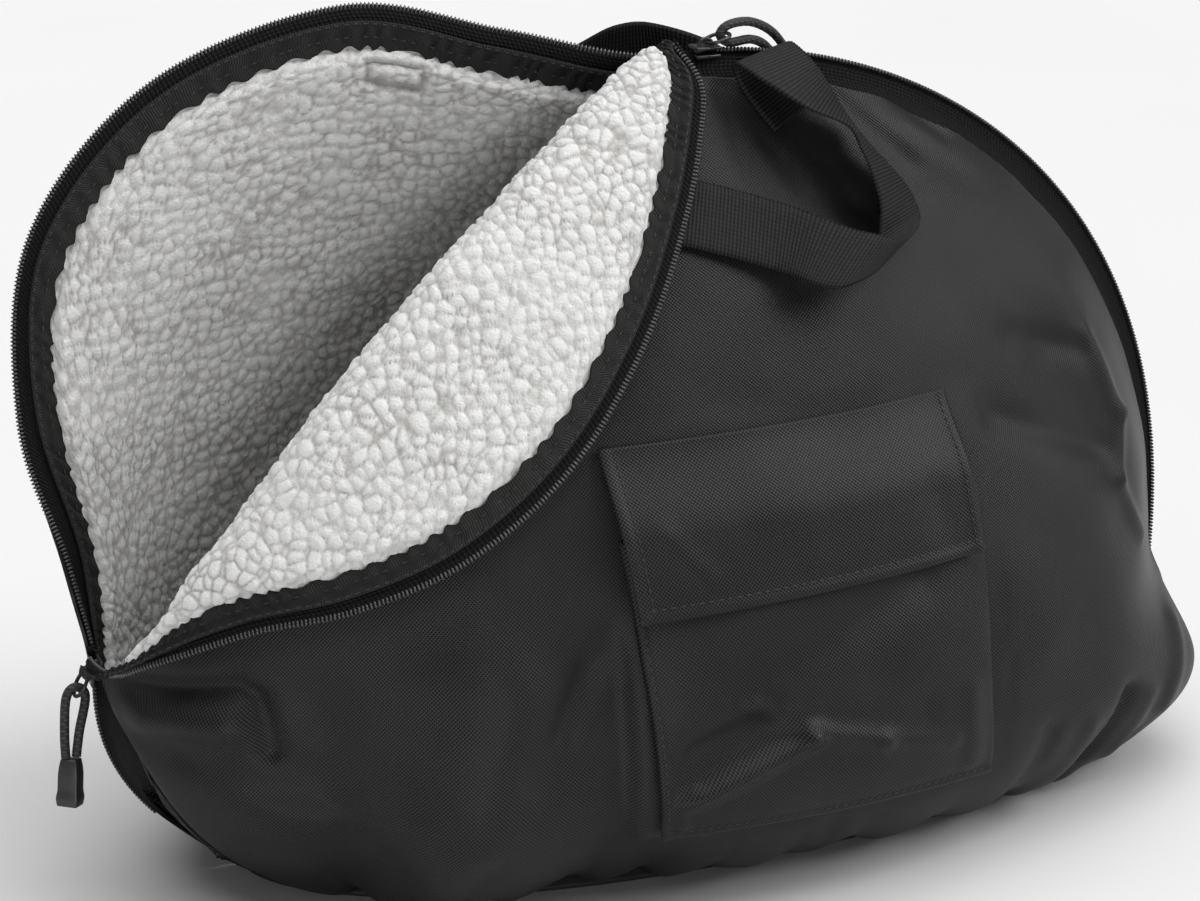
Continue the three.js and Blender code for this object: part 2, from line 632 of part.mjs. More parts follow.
// A place at a distance in from the rim, measured square to the rim over the bag's outer face
function besideRim(rim, share, distance, side) {
  const here = rim(share);
  const ahead = rim(Math.min(share + STEP, 1));
  const behind = rim(Math.max(share - STEP, 0));
  const inward = new THREE.Vector2(ahead.z - behind.z, behind.x - ahead.x).normalize();
  if (inward.x * here.x + inward.y * (here.z - HEART) > 0) inward.negate();
  let point = flatRim(here);
  let run = 0;
  for (let k = 1; run < distance; k++) {
    const reach = STEP * k ** 2;
    const x = here.x + inward.x * reach;
    const next = skin(x, riseAt(here.z + inward.y * reach), side);
    next.y -= side * GAP;
    run += next.distanceTo(point);
    point = next;
  }
  return { point, out: new THREE.Vector3(-inward.x, 0, -inward.y) };
}

function closedZip(rim, from, to, columns) {
  const rows = 2 * (ZIP_BANDS.length - 1);
  return wall(columns, rows, (column, row, layer) => {
    const share = lerp(from, to, column / columns);
    const step = row - rows / 2;
    const side = step < 0 ? -1 : 1;
    const band = ZIP_BANDS[Math.abs(step)];
    const { point, out } = besideRim(rim, share, band.distance, side);
    const before = besideRim(rim, share, Math.max(band.distance - ZIP_NEAR, 0), side).point;
    const after = besideRim(rim, share, band.distance + ZIP_NEAR, side).point;
    const inward = after.sub(before).normalize();
    const normal = out.clone().addScaledVector(inward, -out.dot(inward)).normalize();
    const up = step === 0 ? out : normal;
    return point.addScaledVector(up, -(layer ? band.bottom : band.top));
  });
}
const leftShare = (z) => (z - ZIP_FOOT) / (SLIDER_LEFT_HEIGHT - ZIP_FOOT);
const leftEnd = leftShare(SLIDER_LEFT_HEIGHT - SLIDER_LENGTH / 2 - GAP);
const rightEnd = lerp(ARC_SHARE, 1, (WIDEST - ZIP_STOP) / (WIDEST - ZIP_FOOT));
const RIGHT_START = 0.02; // past the top slider
addPiece('zip_closed_left', closedZip(leftRim, leftShare(ZIP_STOP), leftEnd, 6), 'tape');
addPiece('zip_closed_right', closedZip(rightRim, RIGHT_START, rightEnd, 20), 'tape');

// Pocket: a panel sewn to the front, and the cover flap over its mouth
function pocketWall(area, columns, rows, lift) {
  return wall(columns, rows, (column, row, layer) => {
    const across = column / columns;
    const up = row / rows;
    const left = area.left + area.leanLeft * (1 - up);
    const right = area.right + (area.leanLeft + area.leanRight) * (1 - up);
    const x = lerp(left, right, across);
    const z = lerp(area.bottom, area.top, up) + area.rise * across;
    return onFront(x, z, POCKET_GAP + lift(across, up) + (1 - layer) * POCKET_CLOTH);
  });
}
const swell = (share) => Math.max(Math.sin(Math.PI * share), 0) ** PUFF_POWER;
const puff = (across, up) => POCKET_PUFF * swell(across) * swell(up);
const COVER_LIFT = POCKET_CLOTH + POCKET_PUFF + POCKET_GAP;
const coverLift = (across, up) => COVER_LIFT * (1 - smoothstep(up, COVER_SEWN, 1));
addPiece('pocket_panel', pocketWall(POCKET, 10, 7, puff), 'nylon');
addPiece('pocket_flap', pocketWall(COVER, 10, 5, coverLift), 'nylon');

// Webbing straps
function strap(centres, widths, steps) {
  const path = new THREE.CatmullRomCurve3(centres);
  const turns = new THREE.CatmullRomCurve3(widths);
  return wall(steps, 1, (column, row, layer) => {
    const t = column / steps;
    const tangent = path.getTangent(t);
    const width = turns.getPoint(t);
    width.addScaledVector(tangent, -width.dot(tangent)).normalize();
    const thick = tangent.cross(width);
    const point = path.getPoint(t).addScaledVector(width, (row - 0.5) * WEBBING);
    return point.addScaledVector(thick, (layer - 0.5) * WEBBING_THICKNESS);
  });
}
const widthOf = (row) => new THREE.Vector3(row.wx, row.wy, row.wz);
const frontStrap = HANDLE_FRONT.map((row) => onFront(row.x, row.z, row.lift));
addPiece('handle_front', strap(frontStrap, HANDLE_FRONT.map(widthOf), 48), 'webbing');
const backStrap = HANDLE_BACK.map((row) => new THREE.Vector3(row.x, row.y, row.z));
addPiece('handle_back', strap(backStrap, HANDLE_BACK.map(widthOf), 36), 'webbing');

// A round bar along a path
function bar(radius, sides, path, steps) {
  const section = new THREE.Shape();
  for (let i = 0; i < sides; i++) {
    const turn = (2 * Math.PI * i) / sides;
    const [x, y] = [radius * Math.cos(turn), radius * Math.sin(turn)];
    if (i === 0) section.moveTo(x, y);
    else section.lineTo(x, y);
  }
  return bare(new THREE.ExtrudeGeometry(section, { steps, bevelEnabled: false, extrudePath: path }));
}

// Zip slider in its own frame: x towards the open zip, y across it, z out from the bag
const SLIDER_OUTLINE = [
  { along: -1, across: 0.6 },
  { along: 0.4, across: 1 },
  { along: 1, across: 0.7 },
];
function sliderBody() {
  const half = SLIDER_LENGTH / 2;
  const wide = SLIDER_WIDTH / 2;
  const below = SLIDER_OUTLINE.map((row) => new THREE.Vector2(row.along * half, -row.across * wide));
  const above = SLIDER_OUTLINE.map((row) => new THREE.Vector2(row.along * half, row.across * wide));
  const outline = new THREE.Shape([...below, ...above.reverse()]);
  const body = bare(new THREE.ExtrudeGeometry(outline, { depth: SLIDER_HEIGHT, bevelEnabled: false }));
  body.translate(0, 0, SLIDER_TOP - SLIDER_HEIGHT);
  const shoulder = BRIDGE_REACH * BRIDGE_SHOULDER;
  const haunch = SLIDER_TOP + BRIDGE_HEIGHT * BRIDGE_HAUNCH;
  const arch = new THREE.CatmullRomCurve3([
    new THREE.Vector3(-BRIDGE_REACH, 0, SLIDER_TOP - BRIDGE_WIRE),
    new THREE.Vector3(-shoulder, 0, haunch),
    new THREE.Vector3(0, 0, SLIDER_TOP + BRIDGE_HEIGHT),
    new THREE.Vector3(shoulder, 0, haunch),
    new THREE.Vector3(BRIDGE_REACH, 0, SLIDER_TOP - BRIDGE_WIRE),
  ]);
  return joined(body, bar(BRIDGE_WIRE, 6, arch, 10));
}

function hoopBody(tilt) {
  const hoop = bare(new THREE.TorusGeometry(HOOP_RADIUS, HOOP_WIRE, 6, HOOP_SIDES));
  hoop.translate(-HOOP_RADIUS, 0, 0);
  hoop.rotateY(tilt);
  return hoop.translate(0, 0, SLIDER_TOP + HOOP_WIRE + GAP);
}

// Sets a slider and its hoop on the rim, with the open zip ahead.
function addSlider(end, rim, ahead, tilt) {
  const along = new THREE.Vector3(ahead.x - rim.x, 0, ahead.z - rim.z).normalize();
  const out = new THREE.Vector3(along.z, 0, -along.x);
  if (out.x * rim.x + out.z * (rim.z - HEART) < 0) out.negate();
  const across = new THREE.Vector3().crossVectors(out, along);
  const frame = new THREE.Matrix4().makeBasis(along, across, out).setPosition(rim.x, 0, rim.z);
  addPiece(`slider_${end}`, sliderBody().applyMatrix4(frame), 'metal');
  addPiece(`hoop_${end}`, hoopBody(tilt).applyMatrix4(frame), 'metal');
}
const ZIP_AHEAD = 0.02; // share of the opening that a slider points along
addSlider('left', leftRim(1), openRim(ZIP_AHEAD), HOOP_TILT_LEFT);
addSlider('top', rightRim(0), openRim(1 - ZIP_AHEAD), HOOP_TILT_TOP);

// Pull cords and their moulded ends
function addPull(end, rows, steps) {
  const points = rows.map((row) => new THREE.Vector3(row.x, row.y, row.z));
  const path = new THREE.CatmullRomCurve3(points);
  addPiece(`pull_cord_${end}`, bar(CORD / 2, 8, path, steps), 'cord');
  const last = points.length - 1;
  const middle = points[0].clone().add(points[last]).multiplyScalar(0.5);
  const entry = path.getTangent(1).sub(path.getTangent(0)).normalize();
  const profile = TOGGLE.map((row) => new THREE.Vector2(row.radius, row.at));
  profile.unshift(new THREE.Vector2(0, 0));
  profile.push(new THREE.Vector2(0, TOGGLE[TOGGLE.length - 1].at));
  const toggle = bare(new THREE.LatheGeometry(profile, 10));
  toggle.applyQuaternion(new THREE.Quaternion().setFromUnitVectors(new THREE.Vector3(0, 1, 0), entry));
  middle.addScaledVector(entry, TOGGLE_GAP);
  addPiece(`toggle_${end}`, toggle.translate(middle.x, middle.y, middle.z), 'toggle');
}
addPull('left', CORD_LEFT, 20);
addPull('top', CORD_TOP, 24);

export default bag;
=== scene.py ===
"""Looks of a soft helmet bag: black nylon over white sherpa, half unzipped, one corner turned down."""
import math

import bmesh
import bpy
import numpy as np
from mathutils import Matrix, Vector


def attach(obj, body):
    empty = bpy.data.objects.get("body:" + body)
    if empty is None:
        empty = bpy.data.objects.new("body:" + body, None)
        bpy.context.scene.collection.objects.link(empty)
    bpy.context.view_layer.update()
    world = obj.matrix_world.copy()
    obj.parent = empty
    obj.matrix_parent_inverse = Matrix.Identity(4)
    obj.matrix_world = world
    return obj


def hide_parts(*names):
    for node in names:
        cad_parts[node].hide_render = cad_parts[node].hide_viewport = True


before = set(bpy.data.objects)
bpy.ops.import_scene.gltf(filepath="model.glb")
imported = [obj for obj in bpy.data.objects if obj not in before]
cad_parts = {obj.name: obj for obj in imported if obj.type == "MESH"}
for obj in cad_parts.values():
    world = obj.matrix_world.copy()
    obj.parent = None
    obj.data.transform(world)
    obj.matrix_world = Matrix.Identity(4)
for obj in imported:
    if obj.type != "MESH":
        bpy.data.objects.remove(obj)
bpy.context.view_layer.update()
MM = 0.001

# Camera, at the photograph's angle
CAMERA_TARGET = (-26, 0, 140)
CAMERA_PLACE = (-413.2, -958.4, 516.2)
CAMERA_LENS = 90.75
CAMERA_SENSOR = 36


def look(place, target):
    direction = Vector(target) - Vector(place)
    turn = direction.to_track_quat("-Z", "Y").to_matrix().to_4x4()
    return Matrix.Translation(Vector(place) * MM) @ turn


camera = bpy.data.objects.new("camera", bpy.data.cameras.new("camera"))
camera.data.lens = CAMERA_LENS
camera.data.sensor_width = CAMERA_SENSOR
camera.data.sensor_fit = "HORIZONTAL"
camera.data.clip_start = 0.01
camera.matrix_world = look(CAMERA_PLACE, CAMERA_TARGET)
bpy.context.collection.objects.link(camera)
bpy.context.scene.camera = camera

# Body form in millimetres: X along the bag, -Y its front, the base on z = 0
REACH_LEFT = 216
REACH_RIGHT = 210
WIDEST = 75
TOP = 285
RIM_POWER = 2.15
UNDERCUT_LEFT = 108
UNDERCUT_RIGHT = 200
BELLY = 110
BELLY_HEIGHT = 55
BASE_DEPTH = 50
BASE_SHARE = 0.25
SHOULDER_POWER = 1.7
END_POWER = 2.2
PLUMP_LOW = 1.9
PLUMP_HIGH = 1.25
PLUMP_FROM = 40
PLUMP_SPAN = 160
FLAT_FROM = 0.7  # share of the right half past which the front meets the zip flatter
FLAT_LOW = 40  # height above which it does, and where it does fully
FLAT_FULL = 80
CORNER_BULGE = 54
CORNER_HEIGHT = 36
CORNER_SPREAD = 27
LOBE_RISE = 3
LOBE_FALL = 6
END_FAN = 8
EDGE_CROWDING = 1.6
GAP = 0.3
STEP = 0.004
TINY = 1e-4
FAR = 1e9

# Seams, zip and layers
SEAM_HEIGHT = 2.3
ZIP_FOOT = 22
SLIDER_LEFT_HEIGHT = 84
SLIDER_TOP_X = 14
TIP_X = 2  # where the front's zip leaves the turned-down corner
REVEAL = 11  # width of tape that shows beside the closed zip
LEFT_REVEAL = 32  # the same at the left, where the front's tape lies open to the side
LEFT_TAPER = 0.45  # its share of that width down at the base
RIGHT_REVEAL = 16  # the same down the right
NYLON = 1.2
TAPE_DEPTH = 2.1
TAPE = 0.8
TAPE_WIDTH = 15
BINDING_DEPTH = 4.6  # outer face of the binding
BINDING = 1.2
BINDING_FROM = 5.5
BINDING_TO = 14.2
PILE_DEPTH = 8.0  # face of the sherpa, below the nylon's outer face
PILE_FLOOR = 5  # height of the lining's lower edge
ARC_SHARE = 0.82  # share of the right-hand zip that lies on the half-moon's arc
ZIP_MIDDLE = 90  # height that the zip's outside is told from
LEFT_COLUMNS = 4
OPEN_COLUMNS = 16
RIGHT_COLUMNS = 16
COLUMNS = LEFT_COLUMNS + OPEN_COLUMNS + RIGHT_COLUMNS

# Gathers along the base seam
GATHER = 2.4
GATHER_DROP = 1.6
GATHER_PITCH = 27
GATHER_HEIGHT = 20
GATHER_FINE = 0.6
GATHER_WANDER = 9  # how far the gathers stray from an even pitch
GATHER_WANDER_SIZE = 31
GATHER_ROUNDNESS = 0.8

# The turned-down corner: fold and free zip edge as places on the front panel, and the edge's lift
FLAP = [
    # fold_x, fold_z, edge_x, edge_z, lift
    (-215, 85.5, -216, 84.2, 1.5),
    (-204, 100, -207, 93, 5),
    (-194, 111, -196, 101, 7),
    (-177, 130, -170, 114, 5),
    (-155, 157, -140, 122, 3.6),
    (-128, 187, -104, 137, 3.4),
    (-99, 213, -67, 163, 3.4),
    (-71, 235, -35, 198, 3.4),
    (-43, 256, -11, 234, 4),
    (-20, 271, 1, 258, 6),
    (-6, 279, 5, 271, 7),
    (1, 284, 2, 282, 4),
]
FLAP_START = (-217, -2.5, 90)
FLAP_TIP = (-1.5, -5, 290.5)
FLAP_END_SPREAD = 0.06
FOLD_RADIUS = 3
FOLD_PINCH = 0.8

# Free zip edge of the back panel
BACK_EDGE = [
    (-217, 3, 90),
    (-220, 24, 114),
    (-227, 47, 163),
    (-215, 65, 224),
    (-168, 70, 273),
    (-101, 59, 297),
    (-48, 40, 288),
    (-12, 20, 281),
    (8, 3, 284),
]
BACK_LEAN_POWER = 2

# Folds of the front panel that the solids have too
FOLDS = [
    # from_x, from_z, to_x, to_z, width, height
    (150, 190, 186, 120, 15, 5),
    (132, 170, 160, 112, 14, -3),
    (178, 58, 138, 26, 15, -4),
    (75, 256, 112, 236, 9, 2.5),
    (104, 158, 150, 142, 10, -2.5),
    (-198, 72, -158, 64, 10, -3),
    (-66, 102, -88, 66, 12, -2.5),
]

# Broad and small creases that only the visible nylon has
CREASES = [
    (-100, 92, -114, 18, 22, 7.5),
    (-158, 84, -142, 24, 18, -6),
    (-60, 90, -50, 24, 22, -5.5),
    (15, 274, 18, 246, 3.2, -1.5),
    (20, 273, 36, 242, 3.4, -1.7),
    (30, 266, 62, 226, 4, -2),
    (25, 272, 50, 238, 4, 1.2),
    (60, 266, 84, 243, 3.6, -1.3),
    (87, 263, 103, 249, 3.2, -1.4),
    (113, 183, 149, 170, 4.5, -1.8),
    (152, 174, 165, 143, 3.4, 1.9),
    (165, 143, 160, 121, 3.2, 1.8),
    (160, 121, 172, 97, 3.4, 1.6),
    (97, 160, 154, 134, 4.5, -1.7),
    (155, 46, 143, 16, 4, -4.5),
    (168, 40, 158, 14, 5, 2),
    (134, 38, 126, 14, 5, 1.6),
    (192, 56, 180, 30, 5, 1.8),
    (90, 76, 84, 44, 3.6, -2),
    (-69, 100, -80, 80, 4, -1.6),
    (-62, 98, -72, 78, 4, 1.1),
    (-204, 79, -184, 81, 6, 4.2),
    (-206, 89, -180, 95, 4, -3.4),
    (-175, 92, -172, 72, 3.6, -3.8),
    (-196, 66, -150, 52, 6, -1.5),
    (-150, 40, -120, 20, 6, -1.2),
    (112, 44, 106, 14, 5, -2),
    (20, 30, 24, 10, 6, -1.3),
    (-60, 34, -64, 10, 6, -1.4),
    (-104, 34, -112, 10, 6, -1.4),
]


# Plain tools
def lerp(a, b, share):
    return a + (b - a) * share


def smooth(share):
    share = np.clip(share, 0, 1)
    return share * share * (3 - 2 * share)


def bell(distance, width):
    return np.exp(-((distance / width) ** 2))


def unit(vectors):
    return vectors / np.maximum(np.linalg.norm(vectors, axis=-1, keepdims=True), TINY**2)


def curve_through(rows):
    """A smooth curve through rows of numbers, read by a share of the way."""
    rows = np.array(rows, float)
    last = len(rows) - 1

    def at(share):
        place = np.clip(np.asarray(share, float), 0, 1) * last
        first = np.minimum(place.astype(int), last - 1)
        t = (place - first)[..., None]
        start, end = rows[first], rows[first + 1]
        lead_in = (end - rows[np.maximum(first - 1, 0)]) / 2
        lead_out = (rows[np.minimum(first + 2, last)] - start) / 2
        blend = 3 * t**2 - 2 * t**3
        return lerp(start, end, blend) + t * (1 - t) ** 2 * lead_in - t**2 * (1 - t) * lead_out

    return at


EVEN_STEPS = 1200


def even_shares(line, pitch):
    """Shares along a line of points that are a pitch apart."""
    shares = np.linspace(0, 1, EVEN_STEPS)
    steps = np.linalg.norm(np.diff(line(shares), axis=0), axis=1)
    lengths = np.concatenate([[0], np.cumsum(steps)])
    return np.interp(np.arange(0, lengths[-1], pitch), lengths, shares)


# Seeded noise
LATTICE_SIZE = 128
SEED_SHIFT = (17.3, 5.1)  # cells between the places that two seeds read
LATTICE = np.random.default_rng(5).random((LATTICE_SIZE, LATTICE_SIZE))


def noise(s, t, size, seed=0):
    """Smooth noise from -1 to 1 with lumps of about the given size."""
    a = s / size + SEED_SHIFT[0] * seed
    b = t / size + SEED_SHIFT[1] * seed
    i = np.floor(a).astype(int)
    j = np.floor(b).astype(int)
    u = smooth(a - i)
    v = smooth(b - j)

    def corner(di, dj):
        return LATTICE[(i + di) % LATTICE_SIZE, (j + dj) % LATTICE_SIZE]

    low = lerp(corner(0, 0), corner(1, 0), u)
    high = lerp(corner(0, 1), corner(1, 1), u)
    return 2 * lerp(low, high, v) - 1


TUFT_LATTICE_SIZE = 64
TUFT_INSET, TUFT_SPREAD = 0.15, 0.7  # where in its cell a tuft's centre may lie
TUFT_LATTICE = TUFT_INSET + TUFT_SPREAD * np.random.default_rng(8).random((3,) + 3 * (TUFT_LATTICE_SIZE,))


def tufts(points, size):
    """Distances to the nearest two of tuft centres scattered through space, in tuft sizes."""
    place = points / size
    cell = np.floor(place).astype(int)
    nearest = np.full(place.shape[:-1], FAR)
    second = nearest.copy()
    for step in np.ndindex(3, 3, 3):
        near = cell + np.array(step) - 1
        key = tuple(np.moveaxis(near % TUFT_LATTICE_SIZE, -1, 0))
        centre = near + np.stack([axis[key] for axis in TUFT_LATTICE], -1)
        distance = np.linalg.norm(place - centre, axis=-1)
        second = np.minimum(second, np.maximum(nearest, distance))
        nearest = np.minimum(nearest, distance)
    return nearest, second


# Form of the closed bag
def half_length(z, right):
    reach = np.where(right, REACH_RIGHT, REACH_LEFT)
    under = np.where(right, UNDERCUT_RIGHT, UNDERCUT_LEFT)
    share = np.where(z >= WIDEST, (z - WIDEST) / (TOP - WIDEST), (WIDEST - z) / under)
    return reach * np.maximum(1 - np.abs(share) ** RIM_POWER, 0) ** (1 / RIM_POWER)


def level(rise):
    turn = np.pi / 2 * np.clip(rise / BASE_SHARE, 0, 1)
    share = np.clip((rise - BASE_SHARE) / (1 - BASE_SHARE), 0, None)
    low = rise < BASE_SHARE
    z = np.where(low, BELLY_HEIGHT * (1 - np.cos(turn)), lerp(BELLY_HEIGHT, TOP, share))
    bottom = lerp(BASE_DEPTH, BELLY, np.sin(turn))
    return z, np.where(low, bottom, BELLY * (1 - np.minimum(share, 1) ** SHOULDER_POWER))


def rise_at(z):
    z = np.asarray(z, float)
    low = BASE_SHARE * np.arccos(np.clip(1 - z / BELLY_HEIGHT, -1, 1)) / (np.pi / 2)
    high = lerp(BASE_SHARE, 1, (z - BELLY_HEIGHT) / (TOP - BELLY_HEIGHT))
    return np.where(z < BELLY_HEIGHT, low, high)


def relief(x, z, rows):
    """Height of folds and creases, each along a line."""
    height = np.zeros(np.broadcast(x, z).shape)
    for from_x, from_z, to_x, to_z, width, tall in rows:
        along = np.array([to_x - from_x, to_z - from_z], float)
        share = ((x - from_x) * along[0] + (z - from_z) * along[1]) / (along @ along)
        near = np.clip(share, 0, 1)
        distance = np.hypot(x - from_x - near * along[0], z - from_z - near * along[1])
        height += tall * bell(distance, width)
    return height


def skin(x, rise, side):
    """Outer face of the closed bag; side -1 is the front, 1 the back."""
    z, depth = level(rise)
    half = np.maximum(half_length(z, x > 0), TINY)
    across = np.clip(x / half, -1, 1)
    plump = lerp(PLUMP_LOW, PLUMP_HIGH, smooth((z - PLUMP_FROM) / PLUMP_SPAN))
    if side < 0:
        right = smooth((across - FLAT_FROM) / (1 - FLAT_FROM))
        plump = lerp(plump, 1, right * smooth((z - FLAT_LOW) / (FLAT_FULL - FLAT_LOW)))
    round_off = np.maximum(1 - np.abs(across) ** END_POWER, 0) ** (1 / plump)
    ends = np.clip(across, 0, 1)
    lobe = ends**LOBE_RISE * (1 - ends**LOBE_FALL)
    bulge = CORNER_BULGE * lobe * bell(z - CORNER_HEIGHT, CORNER_SPREAD)
    crease = relief(x, z, FOLDS) * np.minimum(1, 2 * round_off) if side < 0 else 0
    return np.stack([across * half + bulge, side * (GAP + depth * round_off + crease), z], -1)


def on_front(x, z, lift):
    """Points over the front panel, raised off it."""
    x = np.asarray(x, float)
    rise = rise_at(z)
    dx = skin(x + 1, rise, -1) - skin(x - 1, rise, -1)
    dz = skin(x, rise + STEP, -1) - skin(x, rise - STEP, -1)
    return skin(x, rise, -1) + unit(np.cross(dx, dz)) * np.asarray(lift)[..., None]


def rim_at_angle(angle):
    """The zip's half-moon line on the middle plane; an angle of zero is the crest."""
    reach = np.where(angle < 0, -REACH_LEFT, REACH_RIGHT)
    x = reach * np.abs(np.sin(angle)) ** (2 / RIM_POWER)
    return x, lerp(WIDEST, TOP, np.abs(np.cos(angle)) ** (2 / RIM_POWER))


def angle_at(x):
    return math.asin((x / REACH_RIGHT) ** (RIM_POWER / 2))


ANGLE_LEFT = -math.acos(((SLIDER_LEFT_HEIGHT - WIDEST) / (TOP - WIDEST)) ** (RIM_POWER / 2))


def left_rim(share):
    z = lerp(ZIP_FOOT, SLIDER_LEFT_HEIGHT, share)
    return -half_length(z, False), z


def right_rim(share, start_x):
    arc = rim_at_angle(lerp(angle_at(start_x), np.pi / 2, np.minimum(share / ARC_SHARE, 1)))
    z = lerp(WIDEST, ZIP_FOOT, np.clip((share - ARC_SHARE) / (1 - ARC_SHARE), 0, 1))
    on_arc = share < ARC_SHARE
    return np.where(on_arc, arc[0], half_length(z, True)), np.where(on_arc, arc[1], z)


flap_rows = curve_through(FLAP)
back_edge = curve_through(BACK_EDGE)


def is_open(u):
    """Whether a column of a panel ends on the opened stretch of the zip."""
    return (u * COLUMNS >= LEFT_COLUMNS) & (u * COLUMNS <= LEFT_COLUMNS + OPEN_COLUMNS)


def open_share(u):
    """Share along the opened stretch, from the left slider to the top one."""
    return np.clip((u * COLUMNS - LEFT_COLUMNS) / OPEN_COLUMNS, 0, 1)


def panel_tops(u, start_x, opening):
    """Where each column of a panel ends: closed zip on the left, opening, closed zip on the right."""
    column = u * COLUMNS
    left = left_rim(np.clip(column / LEFT_COLUMNS, 0, 1))
    middle = opening(open_share(u))
    right = right_rim(np.clip((column - LEFT_COLUMNS - OPEN_COLUMNS) / RIGHT_COLUMNS, 0, 1), start_x)
    zone = [column < LEFT_COLUMNS, column <= LEFT_COLUMNS + OPEN_COLUMNS]
    return [np.select(zone, [left[k], middle[k]], right[k]) for k in (0, 1)]


def fold_opening(share):
    rows = flap_rows(share)
    return rows[..., 0], rows[..., 1]


def rim_opening(share):
    return rim_at_angle(lerp(ANGLE_LEFT, angle_at(SLIDER_TOP_X), share))


# Length of the base seam from the left end, for even gathers
SEAM_HALF_LENGTH = 182
SEAM_HALF_DEPTH = 67
SEAM_COUNT = 400
SEAM_U = np.linspace(0, 1, SEAM_COUNT)
SEAM_ALONG = SEAM_HALF_LENGTH * np.sin(np.pi * SEAM_U)
SEAM_ACROSS = SEAM_HALF_DEPTH * np.cos(np.pi * SEAM_U)
SEAM_LENGTH = np.cumsum(np.pi * np.hypot(SEAM_ALONG, SEAM_ACROSS) / SEAM_COUNT)


def gathers(u, side):
    """Puckers of a panel along the base seam."""
    s = np.interp(u, SEAM_U, SEAM_LENGTH)
    s = s + GATHER_WANDER * noise(s, s * 0, GATHER_WANDER_SIZE, 2 + side)
    puckers = GATHER_FINE * noise(s, s * 0, GATHER_PITCH / 4, 6 + side)
    return 2 * np.abs(np.sin(np.pi * s / GATHER_PITCH)) ** GATHER_ROUNDNESS - 1 + puckers


def panel_points(u, up, top, side):
    """Points of a panel: a share along its base seam and a share up towards the column's end."""
    across = -np.cos(np.pi * u)
    share = 1 - (1 - up) ** EDGE_CROWDING
    rise = lerp(rise_at(SEAM_HEIGHT), rise_at(top[1]), share)
    z = level(rise)[0]
    straight = lerp(across * half_length(SEAM_HEIGHT, across > 0), top[0], share)
    top_half = np.maximum(half_length(top[1], top[0] > 0), TINY)
    parallel = lerp(across, np.clip(top[0] / top_half, -1, 1), share) * half_length(z, straight > 0)
    points = skin(lerp(straight, parallel, np.abs(across) ** END_FAN), rise, side)
    puff = gathers(u, side) * bell(z, GATHER_HEIGHT)
    points[..., 1] += side * GATHER * puff
    points[..., 2] -= GATHER_DROP * puff * bell(z, GATHER_HEIGHT / 2)
    return points


def front_points(u, up):
    return panel_points(u, up, panel_tops(u, TIP_X, fold_opening), -1)


def front_plain(u, up):
    """The front panel without its folds, turned to the back."""
    return panel_points(u, up, panel_tops(u, TIP_X, fold_opening), 1)


def back_points(u, up):
    top = panel_tops(u, SLIDER_TOP_X, rim_opening)
    points = panel_points(u, up, top, 1)
    lean = back_edge(open_share(u)) - panel_points(u, np.ones_like(u), top, 1)
    lean = np.where(is_open(u)[..., None], lean, 0)
    return points + lean * (up**BACK_LEAN_POWER)[..., None]


def rim_line(start_x, count=140):
    share = np.linspace(0, 1, count)
    flat = [left_rim(share), right_rim(share, start_x)]
    return np.concatenate([np.stack([x, np.zeros(count), z], -1) for x, z in flat])


REACH_FROM = 0.2
REACH_STEPS = 240


class Reach:
    """How far up each column of a panel to stay a distance away from the zip."""

    def __init__(self, points_at, u, rim):
        self.ups = np.linspace(REACH_FROM, 1, REACH_STEPS)
        points = points_at(u, np.repeat(self.ups[:, None], len(u), 1))
        self.distance = np.full(points.shape[:2], FAR)
        for place in rim:
            self.distance = np.minimum(self.distance, np.linalg.norm(points - place, axis=-1))

    def up(self, wanted):
        wanted = np.broadcast_to(wanted, self.distance.shape[1])
        columns = range(self.distance.shape[1])
        return np.array([np.interp(-wanted[i], -self.distance[:, i], self.ups) for i in columns])


def normals(points):
    return unit(np.cross(np.gradient(points, axis=1), np.gradient(points, axis=0)))


def outward(points, side, rows=slice(None)):
    """Normals that look to the front (-1) or the back (1) over the given rows."""
    out = normals(points)
    return out * side * np.sign(np.sum(out[rows, :, 1]))


def faced(points, side, rows=slice(None)):
    """The same points with columns ordered so that their faces look to the front (-1) or the back (1)."""
    return points if np.sum(normals(points)[rows, :, 1]) * side > 0 else points[:, ::-1]


def sunk(points, depth, side, rows=slice(None)):
    """Points moved in from the outer face of the front (-1) or back (1) panel."""
    return points - outward(points, side, rows) * np.asarray(depth)[..., None]


# The turned-down corner
def fold_radius(share):
    return lerp(FOLD_PINCH, FOLD_RADIUS, np.maximum(np.sin(np.pi * share), 0) ** 0.5)


def fold_frame(share):
    """Fold line, its outward normal and the way over the fold."""
    rows = flap_rows(share)
    fold = on_front(rows[..., 0], rows[..., 1], 0 * share)
    out = unit(on_front(rows[..., 0], rows[..., 1], 0 * share + 1) - fold)
    edge = on_front(rows[..., 2], rows[..., 3], 0 * share)
    ahead = fold - edge
    ahead = unit(ahead - out * np.sum(ahead * out, -1, keepdims=True))
    return fold, out, ahead


def flap_inside(share, distance, depth):
    """Points inside the bag below the fold."""
    rows = flap_rows(share)
    along = rows[..., 2:4] - rows[..., 0:2]
    along = along / np.linalg.norm(along, axis=-1, keepdims=True)
    x = rows[..., 0] + along[..., 0] * distance
    z = rows[..., 1] + along[..., 1] * distance
    return on_front(x, z, -depth)


def flap_turn(share, turn, depth):
    """Points around the fold."""
    fold, out, ahead = fold_frame(share)
    radius = fold_radius(share)
    reach = (radius + depth) * np.sin(np.pi * turn)
    lift = radius - np.cos(np.pi * turn) * (radius + depth)
    return fold + out * lift[..., None] + ahead * reach[..., None]


